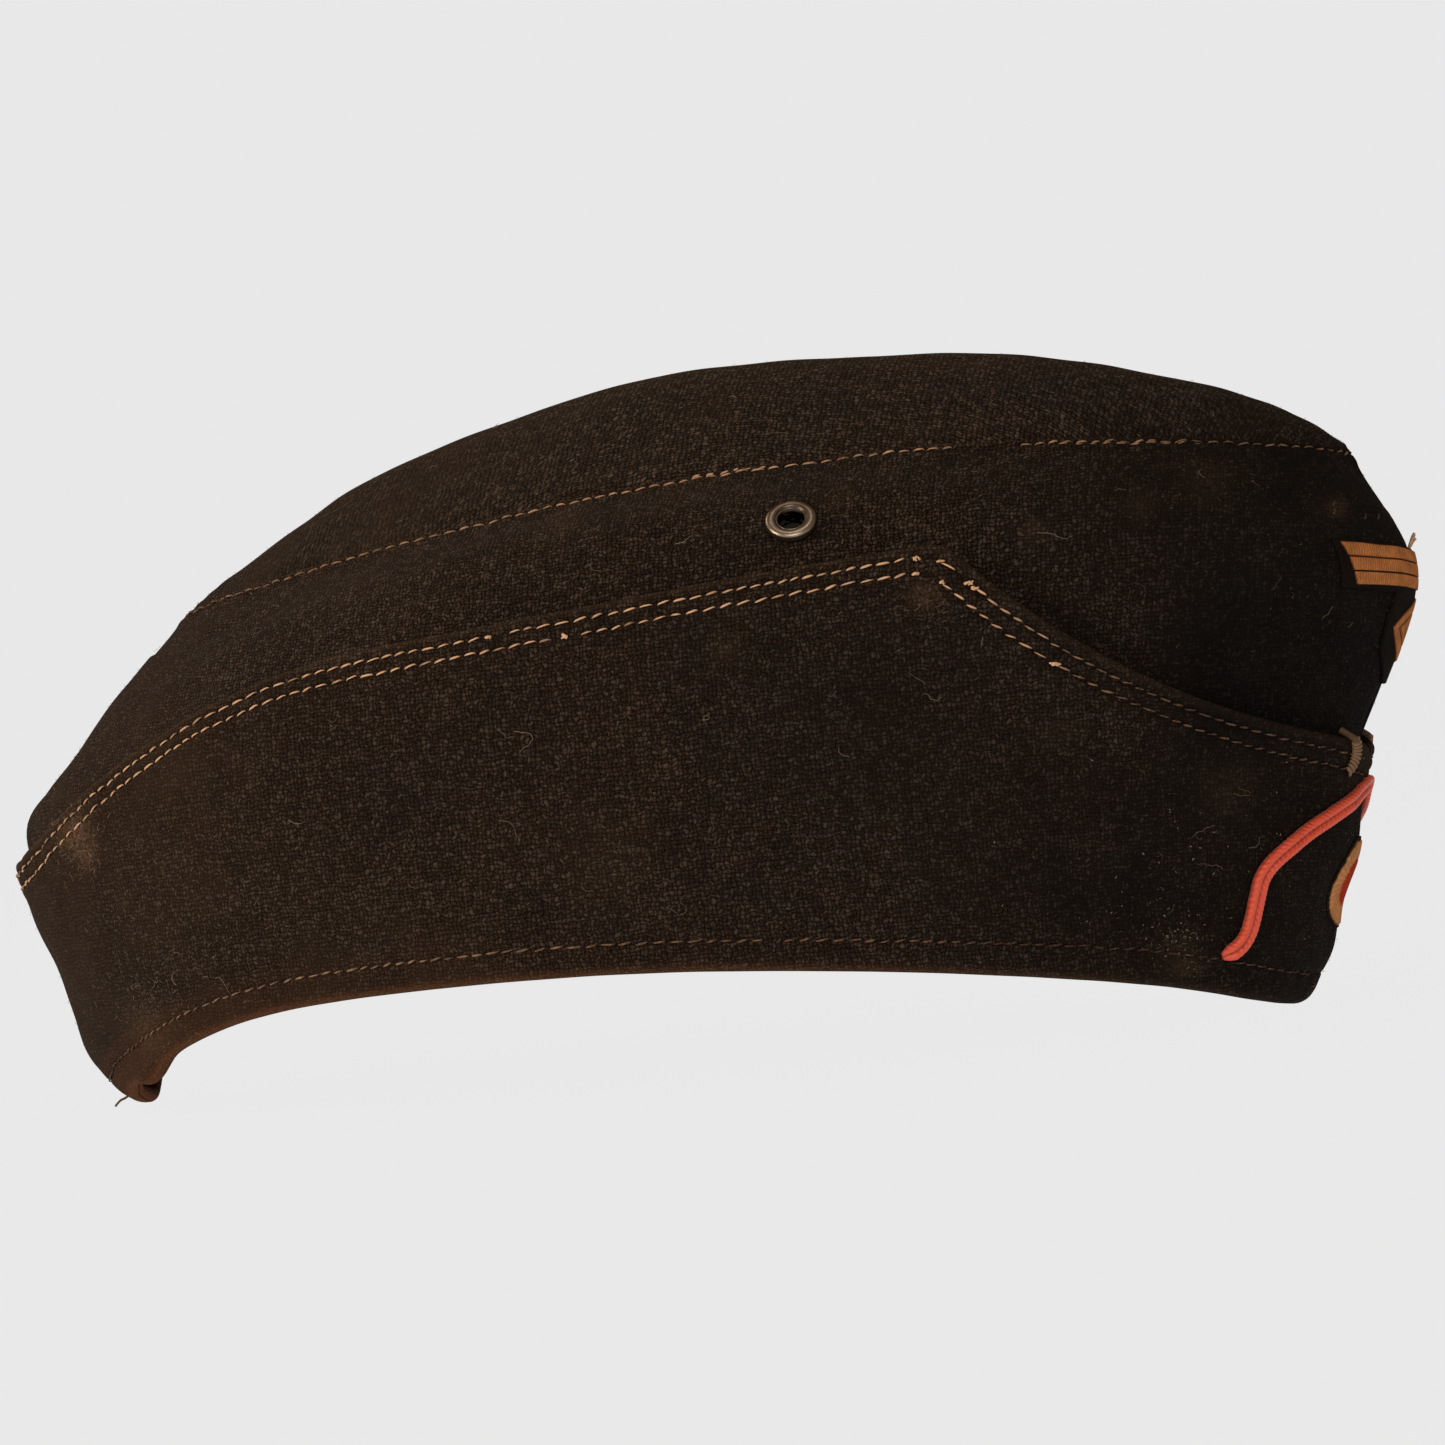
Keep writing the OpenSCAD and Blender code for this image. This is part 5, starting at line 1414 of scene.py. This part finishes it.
# ---------------------------------------------------------------- the cap
for SIDE in ("right", "left"):
    side_panel(SIDE)
    curtain(SIDE)
    inner_plies(SIDE)
    topstitching(SIDE)
    bar_tack(SIDE)
    eyelet(SIDE)
crown_panel()
crown_lining()
sweatband()
braid()
cockade()
badge()
lint()
loose_threads()
for NODE in ("eyelet_washer_right", "eyelet_washer_left"):
    frame["nodes"][NODE].data.materials.clear()
    frame["nodes"][NODE].data.materials.append(EYELET_METAL)

# ---------------------------------------------------------------- camera, floor and light
TURN, ROLL, DISTANCE, FOCAL = np.radians(12.0), np.radians(-5.8), 1.1, 143.05
TARGET = np.array([0.003, 0.0, 0.0624])
# The surround's tone as seen and as it lights the cap, and how strongly world and floor glow
PALE, WARM, WORLD_GLOW, FLOOR_GLOW = "E8E8E8", "F2DCC4", 0.24, 0.6


def stand(name, data, ways, at):
    """A camera or lamp at its place, turned by its directions to the right, up and back."""
    thing = bpy.data.objects.new(name, data)
    bpy.context.scene.collection.objects.link(thing)
    pose = np.eye(4)
    pose[:3, :3] = np.stack(ways, 1)
    pose[:3, 3] = at
    thing.matrix_world = pose.T.tolist()
    return thing


def camera():
    """Camera turned a little to the cap's front, at the cap's own height, and rolled as the cap
    leans in the view."""
    toward = np.array([np.sin(TURN), -np.cos(TURN), 0.0])
    flat = np.array([np.cos(TURN), np.sin(TURN), 0.0])
    up = np.array([0.0, 0.0, 1.0])
    seen = bpy.data.cameras.new("camera")
    seen.lens, seen.sensor_width = FOCAL, 36.0
    ways = (flat * np.cos(ROLL) + up * np.sin(ROLL), up * np.cos(ROLL) - flat * np.sin(ROLL), toward)
    bpy.context.scene.camera = stand("camera", seen, ways, TARGET + DISTANCE * toward)


def light(name, at, size, power, tint):
    """A large soft light that faces the cap."""
    lamp = bpy.data.lights.new(name, "AREA")
    lamp.shape, lamp.size = "DISK", size
    lamp.energy, lamp.color = power, colour(tint)[:3]
    back = unit(np.array(at) - TARGET)
    right = unit(np.cross([0.0, 0.0, 1.0], back))
    stand(name, lamp, (right, np.cross(back, right), back), at)


def pale_light(tree, glow):
    """Strength for a surround that the camera sees pale but that lights the cap only softly."""
    return add(tree, "MapRange", add(tree, "LightPath"), 0.0, 1.0, glow, 1.0)


def pale_card(tree):
    """Painted card, as the eye gets it: one flat pale tone with no gloss and no shadow edge."""
    return {"Emission_Strength": pale_light(tree, FLOOR_GLOW)}


def surroundings():
    """Even pale surroundings: the world and the floor have one tone, so that no horizon shows,
    and both light the cap softly and a little warm, so that the lamps give it shape."""
    scene = bpy.context.scene
    scene.view_settings.view_transform = "Standard"
    scene.world = bpy.data.worlds.new("studio")
    scene.world.use_nodes = True
    tree = scene.world.node_tree
    back = tree.nodes["Background"]
    tint = add(tree, "Mix RGBA", add(tree, "LightPath"), colour(WARM), colour(PALE))
    tree.links.new(tint, back.inputs["Color"])
    tree.links.new(pale_light(tree, WORLD_GLOW), back.inputs["Strength"])
    low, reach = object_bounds()[0][2], 3.0
    corners = [(-reach, -reach, low), (reach, -reach, low), (reach, reach, low), (-reach, reach, low)]
    mesh = bpy.data.meshes.new("floor")
    mesh.from_pydata(corners, [], [(0, 1, 2, 3)])
    mesh.materials.append(finish("matt_card", pale_card, Base_Color=colour("202020"), Roughness=1.0,
                                 Specular_IOR_Level=0.0, Emission_Color=colour(PALE)))
    floor = bpy.data.objects.new("floor", mesh)
    scene.collection.objects.link(floor)


camera()
light("key_light", (-1.3, -1.05, 0.4), 0.7, 11.8, "FFEEDC")
light("fill_light", (0.25, -1.5, 0.45), 0.9, 6.2, "FFF0E0")
light("rear_light", (-1.2, 0.6, 0.9), 0.8, 5.0, "FFF0E0")
light("top_light", (0.1, -0.35, 1.35), 0.45, 1.2, "FFF4E8")
surroundings()
